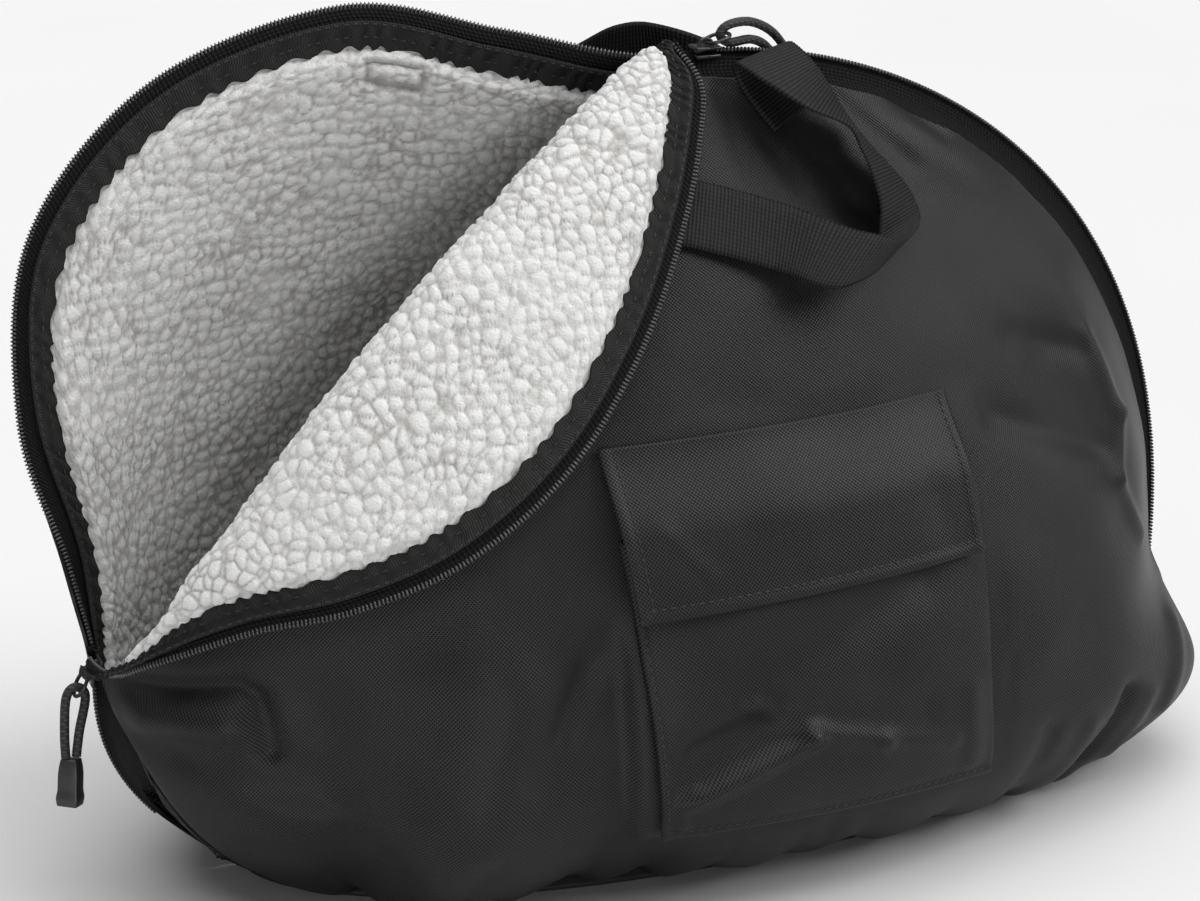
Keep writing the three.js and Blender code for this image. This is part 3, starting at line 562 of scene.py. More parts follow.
def flap_over(share, run, depth):
    """Points from the fold down over the front to the free edge."""
    rows = flap_rows(share)
    x = lerp(rows[..., 0], rows[..., 2], run)
    z = lerp(rows[..., 1], rows[..., 3], run)
    lift = lerp(2 * fold_radius(share), rows[..., 4], smooth(run)) + depth
    ends = np.array([0.0, 1.0])
    corners = flap_rows(ends)
    held = on_front(corners[:, 2], corners[:, 3], corners[:, 4] + TAPE_DEPTH)
    at_start = bell(share, FLAP_END_SPREAD)[..., None] * (np.array(FLAP_START) - held[0])
    at_tip = bell(1 - share, FLAP_END_SPREAD)[..., None] * (np.array(FLAP_TIP) - held[1])
    return on_front(x, z, lift) + (at_start + at_tip) * (run**2)[..., None]


FLAP_STEPS = 12


def flap_length(share):
    """Length from the fold to the free edge along each column."""
    steps = np.linspace(0, 1, FLAP_STEPS)[:, None] + 0 * share
    points = flap_over(np.broadcast_to(share, steps.shape), steps, 0 * steps)
    return np.sum(np.linalg.norm(np.diff(points, axis=0), axis=-1), axis=0)


def flap_band(share, distance, depth):
    """Points at a distance from the flap's free edge, up over the fold and down inside the bag."""
    length = flap_length(share[0])
    turn_length = np.pi * (fold_radius(share) + depth)
    run = np.clip(1 - distance / length, 0, 1)
    turn = np.clip(1 - (distance - length) / turn_length, 0, 1)
    inside = np.maximum(distance - length - turn_length, 0)
    below = flap_inside(share, inside, depth)
    below[..., 1] = np.minimum(below[..., 1], -GAP)
    before_fold = (distance < length)[..., None]
    over = np.where(before_fold, flap_over(share, run, depth), flap_turn(share, turn, depth))
    return np.where((inside > 0)[..., None], below, over)


# Bands along the other zip edges
BACK_BAND_DOWN_TO = 0.6
BACK_BAND_STEPS = 200
# Width of a binding at its left end, as a share, and the share of its length over which that changes
FLAP_TAPER = (0.28, 0.36)
BACK_TAPER = (1.9, 0.3)


def back_ups(u, distance):
    """How far up the back panel to stay at a distance from its open edge."""
    ups = np.linspace(1, BACK_BAND_DOWN_TO, BACK_BAND_STEPS)
    lines = back_points(u, np.repeat(ups[:, None], len(u), 1))
    steps = np.linalg.norm(np.diff(lines, axis=0), axis=-1)
    lengths = np.concatenate([np.zeros((1, len(u))), np.cumsum(steps, axis=0)])
    return np.stack([np.interp(distance[:, i], lengths[:, i], ups) for i in range(len(u))], 1)


def back_band(share, distance, depth):
    """Points on the back panel at a distance from its open edge."""
    u = (LEFT_COLUMNS + share[0] * OPEN_COLUMNS) / COLUMNS
    u = np.clip(u, LEFT_COLUMNS / COLUMNS + TINY, (LEFT_COLUMNS + OPEN_COLUMNS) / COLUMNS - TINY)
    return sunk(back_points(u, back_ups(u, distance)), depth, 1)


def flap_taper(share):
    """The flap's binding narrows towards its left end."""
    return lerp(FLAP_TAPER[0], 1, smooth(share / FLAP_TAPER[1]))


def back_taper(share):
    """The back's binding widens towards its left end."""
    return lerp(BACK_TAPER[0], 1, smooth(share / BACK_TAPER[1]))


def grid(shares, distances):
    """Share and distance of every point of a band."""
    return np.meshgrid(shares, distances)


def right_u(share):
    """Column of a panel at a share along the right-hand closed zip."""
    return (LEFT_COLUMNS + OPEN_COLUMNS + share * RIGHT_COLUMNS) / COLUMNS + TINY


def left_u(share):
    """Column of a panel at a share up the left-hand closed zip."""
    return share * LEFT_COLUMNS / COLUMNS - TINY


class Strip:
    """One side of a closed zip: points at a distance from the rim over the bag."""

    def __init__(self, points_at, u_of, start_x, sign, width=REVEAL):
        self.width = width
        self.points_at = points_at
        self.u_of = u_of
        self.rim = rim_line(start_x)
        self.sign = sign

    def __call__(self, share, distance, depth):
        u = np.clip(self.u_of(share[0]), 0, 1)
        reach = Reach(self.points_at, u, self.rim)
        up = np.stack([reach.up(row) for row in distance])
        return sunk(self.points_at(u, up), depth, self.sign)


# Finishes
WAVE_TURN = 2 * math.pi / 20  # a wave texture's scale for a period of one
RIB_PITCH = 1.35


class Finish:
    """A procedural material with short ways to add nodes."""

    def __init__(self, name, roughness, **sockets):
        self.material = bpy.data.materials.new(name)
        self.material.use_nodes = True
        self.tree = self.material.node_tree
        self.shader = self.tree.nodes["Principled BSDF"]
        self.shader.inputs["Roughness"].default_value = roughness
        for socket, value in sockets.items():
            self.shader.inputs[socket.replace("_", " ")].default_value = value

    def node(self, kind, inputs=None, **settings):
        node = self.tree.nodes.new("ShaderNode" + kind)
        for key, value in settings.items():
            setattr(node, key, value)
        for socket, value in (inputs or {}).items():
            if isinstance(value, bpy.types.NodeSocket):
                self.tree.links.new(value, node.inputs[socket])
            else:
                node.inputs[socket].default_value = value
        return node

    def place(self):
        return self.node("UVMap", uv_map="UVMap").outputs["UV"]

    def wave(self, place, direction, period, distortion=0.0):
        inputs = {"Vector": place, "Scale": WAVE_TURN / period, "Distortion": distortion}
        return self.node("TexWave", inputs, bands_direction=direction).outputs["Fac"]

    def noise(self, place, scale, detail=2.0):
        return self.node("TexNoise", {"Vector": place, "Scale": scale, "Detail": detail}).outputs["Fac"]

    def math(self, operation, a, b):
        return self.node("Math", {0: a, 1: b}, operation=operation).outputs[0]

    def weave(self, place, period):
        """Over-and-under threads: high where both waves rise or both fall."""
        along = self.math("SUBTRACT", self.wave(place, "X", period), 0.5)
        across = self.math("SUBTRACT", self.wave(place, "Y", period), 0.5)
        return self.math("MULTIPLY_ADD", self.math("MULTIPLY", along, across), 2.0)

    def ramp(self, factor, dark, light, low=0.0, high=1.0):
        node = self.node("ValToRGB", {"Fac": factor})
        node.color_ramp.elements[0].position = low
        node.color_ramp.elements[0].color = (*dark, 1)
        node.color_ramp.elements[1].position = high
        node.color_ramp.elements[1].color = (*light, 1)
        return node.outputs["Color"]

    def colour(self, socket):
        self.tree.links.new(socket, self.shader.inputs["Base Color"])

    def bump(self, height, strength, distance):
        node = self.node("Bump", {"Height": height, "Strength": strength, "Distance": distance * MM})
        self.tree.links.new(node.outputs["Normal"], self.shader.inputs["Normal"])


def nylon_finish():
    finish = Finish("black_nylon", 0.4, Specular_IOR_Level=0.15)
    place = finish.place()
    weave = finish.weave(place, 1.36)
    # Painted light: the weave's strong contrast is partly the threads' own pattern and partly painted
    # glints, and the broad noise paints lighter patches of sheen
    shade = finish.math("ADD", weave, finish.math("MULTIPLY", finish.noise(place, 0.03), 0.4))
    finish.colour(finish.ramp(shade, (0.0008, 0.0008, 0.001), (0.026, 0.0255, 0.025), 0.33, 1.2))
    finish.bump(weave, 0.52, 0.24)
    return finish.material


def sherpa_finish(name, light, dark):
    """White pile with painted shade that greys it towards its creases, read from the crease attribute."""
    finish = Finish(name, 0.95, Specular_IOR_Level=0.1, Sheen_Weight=0.2, Sheen_Roughness=0.6)
    crease = finish.node("Attribute", attribute_name="crease").outputs["Fac"]
    fluff = finish.noise(finish.node("TexCoord").outputs["Object"], 1100.0, 4.0)
    finish.colour(finish.ramp(crease, light, dark, 0.15, 1.0))
    finish.bump(fluff, 0.7, 0.9)
    return finish.material


def webbing_finish():
    finish = Finish("black_webbing", 0.6, Specular_IOR_Level=0.15)
    place = finish.place()
    # Painted light and shade: lighter on the raised ribs, darker in the gaps between them
    ribs = finish.math("SUBTRACT", 1.0, finish.wave(place, "X", RIB_PITCH))
    threads = finish.math("MULTIPLY", finish.wave(place, "Y", 1.5), 0.5)
    shade = finish.math("MULTIPLY", ribs, finish.math("ADD", threads, finish.noise(place, 0.4)))
    finish.colour(finish.ramp(shade, (0.0015, 0.0015, 0.0015), (0.021, 0.0205, 0.02)))
    finish.bump(threads, 0.5, 0.12)
    return finish.material


def tape_finish():
    finish = Finish("black_zip_tape", 0.75, Specular_IOR_Level=0.12)
    place = finish.place()
    ribs = finish.wave(place, "X", 1.7)
    shade = finish.math("MULTIPLY", ribs, finish.noise(place, 0.8))
    finish.colour(finish.ramp(shade, (0.0008, 0.0008, 0.0008), (0.014, 0.0137, 0.0133)))
    finish.bump(finish.math("ADD", ribs, finish.wave(place, "Y", 1.3)), 0.9, 0.25)
    return finish.material


def binding_finish():
    finish = Finish("black_binding", 0.72, Specular_IOR_Level=0.2)
    place = finish.place()
    ribs = finish.wave(place, "X", 1.0)
    shade = finish.math("MULTIPLY", ribs, finish.noise(place, 0.5))
    finish.colour(finish.ramp(shade, (0.006, 0.0058, 0.0056), (0.036, 0.034, 0.033)))
    finish.bump(ribs, 0.8, 0.25)
    return finish.material


def speckled_finish(name, roughness, dark, light, scale, strength, **sockets):
    """A plain moulded or coated finish with a fine grain."""
    finish = Finish(name, roughness, **sockets)
    place = finish.node("TexCoord").outputs["Object"]
    grain = finish.noise(place, scale, 3.0)
    finish.colour(finish.ramp(grain, dark, light, 0.3, 0.7))
    finish.bump(grain, strength, 0.1)
    return finish.material


def cord_finish():
    finish = Finish("black_cord", 0.65, Specular_IOR_Level=0.4)
    place = finish.node("TexCoord").outputs["Object"]
    braid = finish.math("MULTIPLY", finish.wave(place, "DIAGONAL", 0.0016), finish.wave(place, "Z", 0.0012))
    finish.colour(finish.ramp(braid, (0.01, 0.01, 0.01), (0.05, 0.049, 0.048)))
    finish.bump(braid, 0.7, 0.3)
    return finish.material


NYLON_CLOTH = nylon_finish()
SHERPA = sherpa_finish("white_sherpa", (0.63, 0.627, 0.619), (0.36, 0.351, 0.335))
# A darker copy of the sherpa for the linings inside the bag: painted shade
SHERPA_PAINTED_SHADE = sherpa_finish("shaded_sherpa", (0.58, 0.576, 0.566), (0.34, 0.332, 0.32))
WEBBING_CLOTH = webbing_finish()
ZIP_TAPE = tape_finish()
BINDING_CLOTH = binding_finish()
CORD_BRAID = cord_finish()
THREAD = speckled_finish("black_thread", 0.7, (0.004, 0.004, 0.004), (0.014, 0.014, 0.014), 2500, 0.3)
TEETH = speckled_finish("black_coil", 0.25, (0.02, 0.02, 0.021), (0.055, 0.055, 0.056), 900, 0.1)
MOULDED = speckled_finish("black_moulded", 0.42, (0.014, 0.014, 0.015), (0.024, 0.024, 0.025), 1500, 0.15)
COATED = speckled_finish(
    "black_coated_metal", 0.32, (0.02, 0.02, 0.021), (0.045, 0.045, 0.047), 700, 0.1, Metallic=0.5
)


# Making pieces
def mesh_from(name, bm):
    mesh = bpy.data.meshes.new(name)
    bm.to_mesh(mesh)
    bm.free()
    return mesh


def placed_mesh(name, bm, matrix):
    """A mesh from a bmesh in millimetres, moved to its place."""
    bmesh.ops.transform(bm, verts=bm.verts, matrix=matrix)
    bmesh.ops.scale(bm, vec=(MM, MM, MM), verts=bm.verts)
    bmesh.ops.recalc_face_normals(bm, faces=bm.faces)
    return mesh_from(name, bm)


def rounded(bm, offset):
    bmesh.ops.bevel(
        bm, geom=bm.edges[:], offset=offset, segments=2, profile=0.5, affect="EDGES", material=-1
    )


def finished(name, mesh, material, slot, *nodes):
    """Puts a mesh in the scene as a piece of the bag."""
    mesh.materials.append(material)
    mesh.shade_smooth()
    piece = bpy.data.objects.new(name, mesh)
    bpy.context.collection.objects.link(piece)
    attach(piece, "root")
    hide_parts(*nodes)
    return piece


def sheet_mesh(name, points, uv, crease=None):
    """A grid of cloth bent over rows and columns of points in millimetres."""
    rows, columns = points.shape[:2]
    bm = bmesh.new()
    bmesh.ops.create_grid(bm, x_segments=columns - 1, y_segments=rows - 1, size=1)
    mesh = mesh_from(name, bm)
    mesh.vertices.foreach_set("co", (points * MM).astype(np.float32).ravel())
    corner = np.zeros(len(mesh.loops), np.int32)
    mesh.loops.foreach_get("vertex_index", corner)
    layer = mesh.uv_layers.new(name="UVMap")
    layer.data.foreach_set("uv", uv.reshape(-1, 2)[corner].astype(np.float32).ravel())
    if crease is not None:
        attribute = mesh.attributes.new("crease", "FLOAT", "POINT")
        attribute.data.foreach_set("value", crease.astype(np.float32).ravel())
    mesh.update()
    return mesh


def thicken(piece, thickness):
    """Gives a sheet its thickness, inwards from its outer face."""
    wall = piece.modifiers.new("thickness", "SOLIDIFY")
    wall.thickness = thickness * MM
    wall.offset = -1
    return piece


def surface_uv(points):
    """Lengths along the columns and rows of points, for patterns that follow the cloth."""
    along = np.linalg.norm(np.diff(points, axis=1), axis=-1)
    up = np.linalg.norm(np.diff(points, axis=0), axis=-1)
    s = np.concatenate([np.zeros((len(points), 1)), np.cumsum(along, 1)], 1)
    t = np.concatenate([np.zeros((1, points.shape[1])), np.cumsum(up, 0)], 0)
    middle = s[:, s.shape[1] // 2][:, None]
    return np.stack([s - middle, t], -1)


def body_uv(points):
    """Lengths around and up the plain body under points, for a weave that doesn't bend at creases."""
    x, y, z = np.moveaxis(points, -1, 0)
    rise = rise_at(z)
    half = np.maximum(half_length(z, x > 0), 1)
    depth = np.maximum(level(rise)[1], 1)
    turn = np.arctan2(x / half, np.abs(y) / depth)
    steps = np.linspace(0, 1, 24)[:, None, None] * turn
    around = np.mean(np.hypot(half * np.cos(steps), depth * np.sin(steps)), axis=0) * turn
    rises = np.linspace(0, 1, 200)
    profile = np.linalg.norm(np.diff(skin(0 * rises, rises, 1), axis=0), axis=-1)
    up = np.interp(rise, rises, np.concatenate([[0], np.cumsum(profile)]))
    return np.stack([around, up], -1)


def cloth(name, points, thickness, material, slot, *nodes, crease=None, uv=None):
    uv = surface_uv(points) if uv is None else uv
    mesh = sheet_mesh(name, points, uv, crease)
    return thicken(finished(name, mesh, material, slot, *nodes), thickness)


def frames_along(line, out, shares):
    """Place, direction and outward normal at shares of a line."""
    place = line(shares)
    ahead = unit(line(np.minimum(shares + TINY, 1)) - line(np.maximum(shares - TINY, 0)))
    normal = out(shares)
    normal = unit(normal - ahead * np.sum(normal * ahead, -1, keepdims=True))
    return place, ahead, normal


def ball():
    """Corners and faces of a small round body."""
    bm = bmesh.new()
    bmesh.ops.create_uvsphere(bm, u_segments=6, v_segments=4, radius=0.5)
    corners = np.array([vert.co for vert in bm.verts])
    faces = [[vert.index for vert in face.verts] for face in bm.faces]
    bm.free()
    return corners, faces


BALL_CORNERS, BALL_FACES = ball()


def bodies(name, frames, size, material, slot, *nodes, offset=0.0):
    """Small rounded bodies along a line; size is length, width and height, offset staggers them."""
    place, ahead, normal = frames
    side = np.cross(normal, ahead)
    stagger = np.where(np.arange(len(place)) % 2, offset, -offset)[:, None]
    axes = np.stack([ahead * size[0], side * size[1], normal * size[2]], 1)
    corners = (place + side * stagger)[:, None] + np.einsum("vk,nkj->nvj", BALL_CORNERS, axes)
    starts = range(0, len(place) * len(BALL_CORNERS), len(BALL_CORNERS))
    faces = [[corner + start for corner in face] for start in starts for face in BALL_FACES]
    mesh = bpy.data.meshes.new(name)
    mesh.from_pydata((corners.reshape(-1, 3) * MM).tolist(), [], faces)
    return finished(name, mesh, material, slot, *nodes)


# Pull cords: from the moulded end, over the hoop and back, as in the solids
CORD = 3.3
CORD_LEFT = [
    (-228.6, -5, 55.4),
    (-228.2, -3.5, 64),
    (-226.2, 0, 75.5),
    (-222.8, 0, 79.3),
    (-219.4, 0, 75.5),
    (-223, -3.5, 64),
    (-224.9, -5, 55.4),
]
CORD_TOP = [
    (58, 20.5, 269.5),
    (52, 15, 279),
    (44, 10, 287),
    (33, 4, 292.4),
    (23, 0, 292.9),
    (19.5, 0, 289.7),
    (23, 0, 286.5),
    (33, 3.5, 286.2),
    (41.5, 8.5, 282),
    (48.5, 12.5, 274),
    (54.7, 17.8, 266),
]
CORD_POINTS = 40
TOGGLE_LENGTH = 17
TOGGLE_WIDTH = 7.4
TOGGLE_DEPTH = 6.2
TOGGLE_NECK = 0.8
TOGGLE_RIM = 1.12
TOGGLE_RIM_FROM, TOGGLE_RIM_TO = 0.72, 0.99  # shares of the length
TOGGLE_NECK_LENGTH = 0.25
TOGGLE_CUTS = 5
TOGGLE_BEVEL = 0.5
TOGGLE_GAP = 0.4


def toggle(name, entry, axis, node):
    """A moulded cord end: a slim block that widens to a rim."""
    bm = bmesh.new()
    bmesh.ops.create_cube(bm, size=1)
    upright = [edge for edge in bm.edges if abs(edge.verts[0].co.z - edge.verts[1].co.z) > 0.5]
    bmesh.ops.subdivide_edges(bm, edges=upright, cuts=TOGGLE_CUTS, use_grid_fill=True)
    for vert in bm.verts:
        share = vert.co.z + 0.5
        rim = TOGGLE_RIM if TOGGLE_RIM_FROM < share < TOGGLE_RIM_TO else 1
        width = lerp(TOGGLE_NECK, 1, min(1, share / TOGGLE_NECK_LENGTH)) * rim
        vert.co.x *= TOGGLE_WIDTH * width
        vert.co.y *= TOGGLE_DEPTH * width
        vert.co.z = share * TOGGLE_LENGTH
    rounded(bm, TOGGLE_BEVEL)
    turn = Vector(axis).to_track_quat("Z", "Y").to_matrix().to_4x4()
    mesh = placed_mesh(name, bm, Matrix.Translation(Vector(entry)) @ turn)
    return finished(name, mesh, MOULDED, "toggle", node)


def pull(end, rows):
    """A doubled pull cord along rows of places, with its moulded end."""
    route = curve_through(rows)
    points = route(np.linspace(0, 1, CORD_POINTS))
    data = bpy.data.curves.new(f"{end}_pull_cord", "CURVE")
    data.dimensions = "3D"
    data.bevel_depth = CORD / 2 * MM
    data.bevel_resolution = 4
    data.use_fill_caps = True
    spline = data.splines.new("POLY")
    spline.points.add(CORD_POINTS - 1)
    for point, place in zip(spline.points, points * MM):
        point.co = (*place, 1)
    data.materials.append(CORD_BRAID)
    cord = bpy.data.objects.new(f"{end}_pull_cord", data)
    bpy.context.collection.objects.link(cord)
    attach(cord, "root")
    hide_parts(f"pull_cord_{end}")
    axis = unit(points[-1] - points[-2] + points[0] - points[1])
    entry = (points[0] + points[-1]) / 2 + axis * TOGGLE_GAP
    ended = toggle(f"{end}_cord_end", entry, axis, f"toggle_{end}")


pull("left", CORD_LEFT)
pull("top", CORD_TOP)


# Nylon panels
FRONT_COLUMNS = 260
FRONT_ROWS = 140
BACK_COLUMNS = 160
BACK_ROWS = 80
HELD = 0.8  # share of a column below which the zip doesn't draw the cloth in
HELD_UNDER_ZIP = 0.9  # the same as a share of the way to a low zip
SEAM_GAP = 0.02  # half the gap between the panels below the zip
DENT, DENT_SIZE = 1.1, 46
FINE_DENT, FINE_DENT_SIZE = 0.35, 19
DENTS_FROM_SEAM, DENTS_FROM_ZIP = 8, 10  # how steeply the dents begin at a panel's edges
EDGE_WAVE, EDGE_WAVE_SIZE = 0.9, 11  # the sewn edge beside the zip isn't quite even
EDGE_LENGTH = 900
BACK_NYLON_TOP = 0.985
FOOT_FADE = 8  # height over which the tape narrows to the foot of the zip
RIGHT_WIDENS = 0.6  # share of the right-hand zip over which its tape widens
UNDER_POCKET_X = (-60, 96)
UNDER_POCKET_Z = (30, 180)
UNDER_POCKET_EDGE = 8


def unevenness(x, z, seed):
    """Small lasting dents of a slack cloth."""
    broad = noise(x + 0.4 * z, z - 0.3 * x, DENT_SIZE, seed)
    fine = noise(x - 0.5 * z, z + 0.4 * x, FINE_DENT_SIZE, seed + 1)
    return DENT * broad + FINE_DENT * fine


def between(value, limits, edge):
    """One between two limits, falling to zero at them."""
    return smooth((value - limits[0]) / edge) * smooth((limits[1] - value) / edge)


def off_pocket(x, z):
    """Zero behind the pocket, where the cloth stays smooth, and one elsewhere."""
    inside_x = between(x, UNDER_POCKET_X, UNDER_POCKET_EDGE)
    return 1 - inside_x * between(z, UNDER_POCKET_Z, UNDER_POCKET_EDGE)


def panel_cloth(name, points_at, columns, rows, start_x, side, left_reveal, right_reveal):
    """The nylon of a panel, from the base seam up to the tape that shows beside the zip."""
    u = np.linspace(0, 1, columns + 1)
    reach = Reach(points_at, u, rim_line(start_x))
    column = u * COLUMNS
    foot = np.clip((panel_tops(u, start_x, rim_opening)[1] - ZIP_FOOT) / FOOT_FADE, 0, 1)
    down_right = smooth((column - LEFT_COLUMNS - OPEN_COLUMNS) / RIGHT_COLUMNS / RIGHT_WIDENS)
    down_left = left_reveal * lerp(LEFT_TAPER, 1, column / LEFT_COLUMNS)
    edge = np.where(column < LEFT_COLUMNS, down_left, lerp(REVEAL, right_reveal, down_right))
    edge = edge + EDGE_WAVE * noise(u * EDGE_LENGTH, u * 0, EDGE_WAVE_SIZE, 3)
    limit = np.where(is_open(u), 1, reach.up(edge * foot))
    share = np.linspace(0, 1, rows + 1)[:, None]
    held = np.minimum(HELD, HELD_UNDER_ZIP * limit)
    past = np.maximum(share - HELD, 0) / (1 - HELD)
    up = lerp(np.minimum(share / HELD, 1) * held, limit, past)
    points = points_at(u, up)
    x, z = points[..., 0], points[..., 2]
    inner = np.minimum(1, DENTS_FROM_SEAM * share) * np.minimum(1, DENTS_FROM_ZIP * (1 - share))
    height = unevenness(x, z, 4 + side) * inner
    if side < 0:
        height = (height + relief(x, z, CREASES)) * off_pocket(x, z)
    points = sunk(points, -height, side)
    points[..., 1] = side * np.maximum(side * points[..., 1], SEAM_GAP)
    points[..., 2] = np.maximum(points[..., 2], NYLON + GAP)
    node = "shell_front" if side < 0 else "shell_back"
    uv = body_uv(front_plain(u, up)) if side < 0 else surface_uv(points)
    turned = faced(points, side)
    uv = uv if turned is points else uv[:, ::-1]
    return cloth(name, turned, NYLON, NYLON_CLOTH, "nylon", node, uv=uv)


def back_top(u, up):
    """The back panel up to the tape along its open edge."""
    return back_points(u, np.where(is_open(u), up * BACK_NYLON_TOP, up))


panel_cloth("front_nylon", front_points, FRONT_COLUMNS, FRONT_ROWS, TIP_X, -1, LEFT_REVEAL, RIGHT_REVEAL)
panel_cloth("back_nylon", back_top, BACK_COLUMNS, BACK_ROWS, SLIDER_TOP_X, 1, REVEAL, REVEAL)

# Turned-down corner: nylon below, sherpa above
FLAP_COLUMNS = 460
FLAP_NYLON_ROWS = 44
FLAP_PILE_ROWS = 130
FLAP_NYLON_INSIDE = 0.5  # how far each layer runs on inside the bag
FLAP_PILE_INSIDE = 28
FLAP_PILE_ENDS = (0.085, 0.992)
FLAP_ROOM = 16  # length of the flap that has room for the full pile
FLAP_FRONT = slice(0, 16)  # rows of a flap sheet that surely lie in front of the fold
flap_shares = np.linspace(0, 1, FLAP_COLUMNS + 1)


def flap_sheet(shares, depth, first, inside, rows):
    """Rows of points from a distance off the free edge to a distance inside the bag."""
    last = flap_length(shares) + np.pi * (fold_radius(shares) + depth) + inside
    share = np.repeat(shares[None], rows, 0)
    return flap_band(share, lerp(first, last, np.linspace(0, 1, rows)[:, None]), depth + 0 * share)


flap_nylon = flap_sheet(flap_shares[::2], GAP, REVEAL, FLAP_NYLON_INSIDE, FLAP_NYLON_ROWS)
cloth("flap_nylon", faced(flap_nylon, 1, FLAP_FRONT), NYLON, NYLON_CLOTH, "nylon", "shell_front")

# Sherpa: scattered tufts with creases between them
TUFT = 4.8
TUFT_HEIGHT = 1.3
TUFT_ROUNDNESS = 1.1
TUFT_WARP, TUFT_WARP_SIZE = 1.5, 9
SMALL_TUFT = 0.4 * TUFT
SMALL_TUFT_SHIFT = 40
SMALL_TUFT_HEIGHT = 0.3
CREASE_WIDTH, SMALL_CREASE_WIDTH = 0.3, 0.5
CREASE_DEPTH, CREASE_SHARPNESS = 0.45, 1.5
CREASE_SHADE, SMALL_CREASE_SHADE = 1.1, 0.2
PILE_LEVEL = 0.6
PILE_LUMP, PILE_LUMP_SIZE = 0.6, 17
# Random spread of the painted crease shade's strength, and the size of its patches
CREASE_SHADE_SPREAD, CREASE_SHADE_SPREAD_SIZE = 0.3, 11
PILE_EDGE = 5  # width over which the pile slopes to its sewn edge
PILE_AT_EDGE = 0.25  # share of the tufts' height that is left there

# The square of stitches that holds the back strap
BOX_STITCH_SHARES = np.array([0.646, 0.693])  # places along the back's open edge
BOX_STITCH_APART = np.array([17.0, 25.0])
BOX_STITCH_DEPTH = 2.2
BOX_STITCH_WIDTH = 1.5


def from_box_stitch(points):
    """Distance from the square of stitches that holds the back strap, on the lining."""
    share, apart = grid(BOX_STITCH_SHARES, BOX_STITCH_APART)
    near, far = back_band(share, apart, PILE_DEPTH + 0 * share)
    distance = np.full(points.shape[:-1], FAR)
    for start, end in ((near[0], near[1]), (near[1], far[1]), (far[1], far[0]), (far[0], near[0])):
        along = end - start
        place = np.clip((points - start) @ along / (along @ along), 0, 1)
        distance = np.minimum(distance, np.linalg.norm(points - start - place[..., None] * along, axis=-1))
    return distance


def pile(points, fade):
    """Raises tufts off a lining and gives each point's painted shade: darker in the creases between tufts
    and along the sunken box stitch.
    """
    x, y, z = np.moveaxis(points, -1, 0)
    slants = ((x, z), (x + y, z), (x - y, z + y))
    warp = np.stack([noise(*slant, TUFT_WARP_SIZE, k) for k, slant in enumerate(slants, 1)], -1)
    nearest, second = tufts(points + TUFT_WARP * warp, TUFT)
    small, next_small = tufts(points + SMALL_TUFT_SHIFT, SMALL_TUFT)
    crease = np.clip(1 - (second - nearest) / CREASE_WIDTH, 0, 1)
    fine = np.clip(1 - (next_small - small) / SMALL_CREASE_WIDTH, 0, 1)
    dome = PILE_LEVEL - TUFT_ROUNDNESS * nearest**2 - CREASE_DEPTH * crease**CREASE_SHARPNESS
    lumps = PILE_LUMP * noise(x + y, z, PILE_LUMP_SIZE, 4)
    height = TUFT_HEIGHT * dome - SMALL_TUFT_HEIGHT * fine + lumps
    sewn = bell(from_box_stitch(points), BOX_STITCH_WIDTH)
    raised = points + normals(points) * (height * fade - BOX_STITCH_DEPTH * sewn)[..., None]
    # Painted shade in the creases, its strength spread at random over the pile
    shade_spread = 1 - CREASE_SHADE_SPREAD + CREASE_SHADE_SPREAD * noise(x + y, z - y, CREASE_SHADE_SPREAD_SIZE, 6)
    shade = CREASE_SHADE * shade_spread * crease**CREASE_SHARPNESS + SMALL_CREASE_SHADE * fine
    return raised, np.clip(shade + sewn, 0, 1)


def lining(name, points, fade, material, node):
    """A sheet of pile over points; fade says how high its tufts stand."""
    # The crease attribute carries the painted shade of the pile's creases
    raised, crease = pile(points, fade)
    return finished(name, sheet_mesh(name, raised, surface_uv(raised), crease), material, "sherpa", node)


# Near its ends the flap is too narrow for the pile, which stays inside the binding there
pile_shares = np.linspace(*FLAP_PILE_ENDS, FLAP_COLUMNS + 1)
flap_room = smooth(flap_length(pile_shares) / FLAP_ROOM)
flap_depth = lerp(BINDING_DEPTH - BINDING, PILE_DEPTH, flap_room)
pile_from = BINDING_TO * flap_taper(pile_shares) - 1
pile_inside = lerp(1, FLAP_PILE_INSIDE, flap_room)
flap_pile = flap_sheet(pile_shares, flap_depth, pile_from, pile_inside, FLAP_PILE_ROWS)
from_edge = np.cumsum(np.linalg.norm(np.diff(flap_pile, axis=0, prepend=flap_pile[:1]), axis=-1), 0)
slope = smooth(from_edge / PILE_EDGE)
flap_pile = sunk(flap_pile, (flap_depth - BINDING_DEPTH + BINDING) * (1 - slope), -1, FLAP_FRONT)
flap_fade = lerp(PILE_AT_EDGE, 1, slope) * flap_room
lining("flap_pile", faced(flap_pile, -1, FLAP_FRONT), flap_fade, SHERPA, "lining_front")

PILE_STEEPNESS = 30  # how steeply a panel's pile rises from its upper edge, per share of a column
LINING_ENDS = (0.03, 0.97)
FRONT_PILE_TOP = 0.955


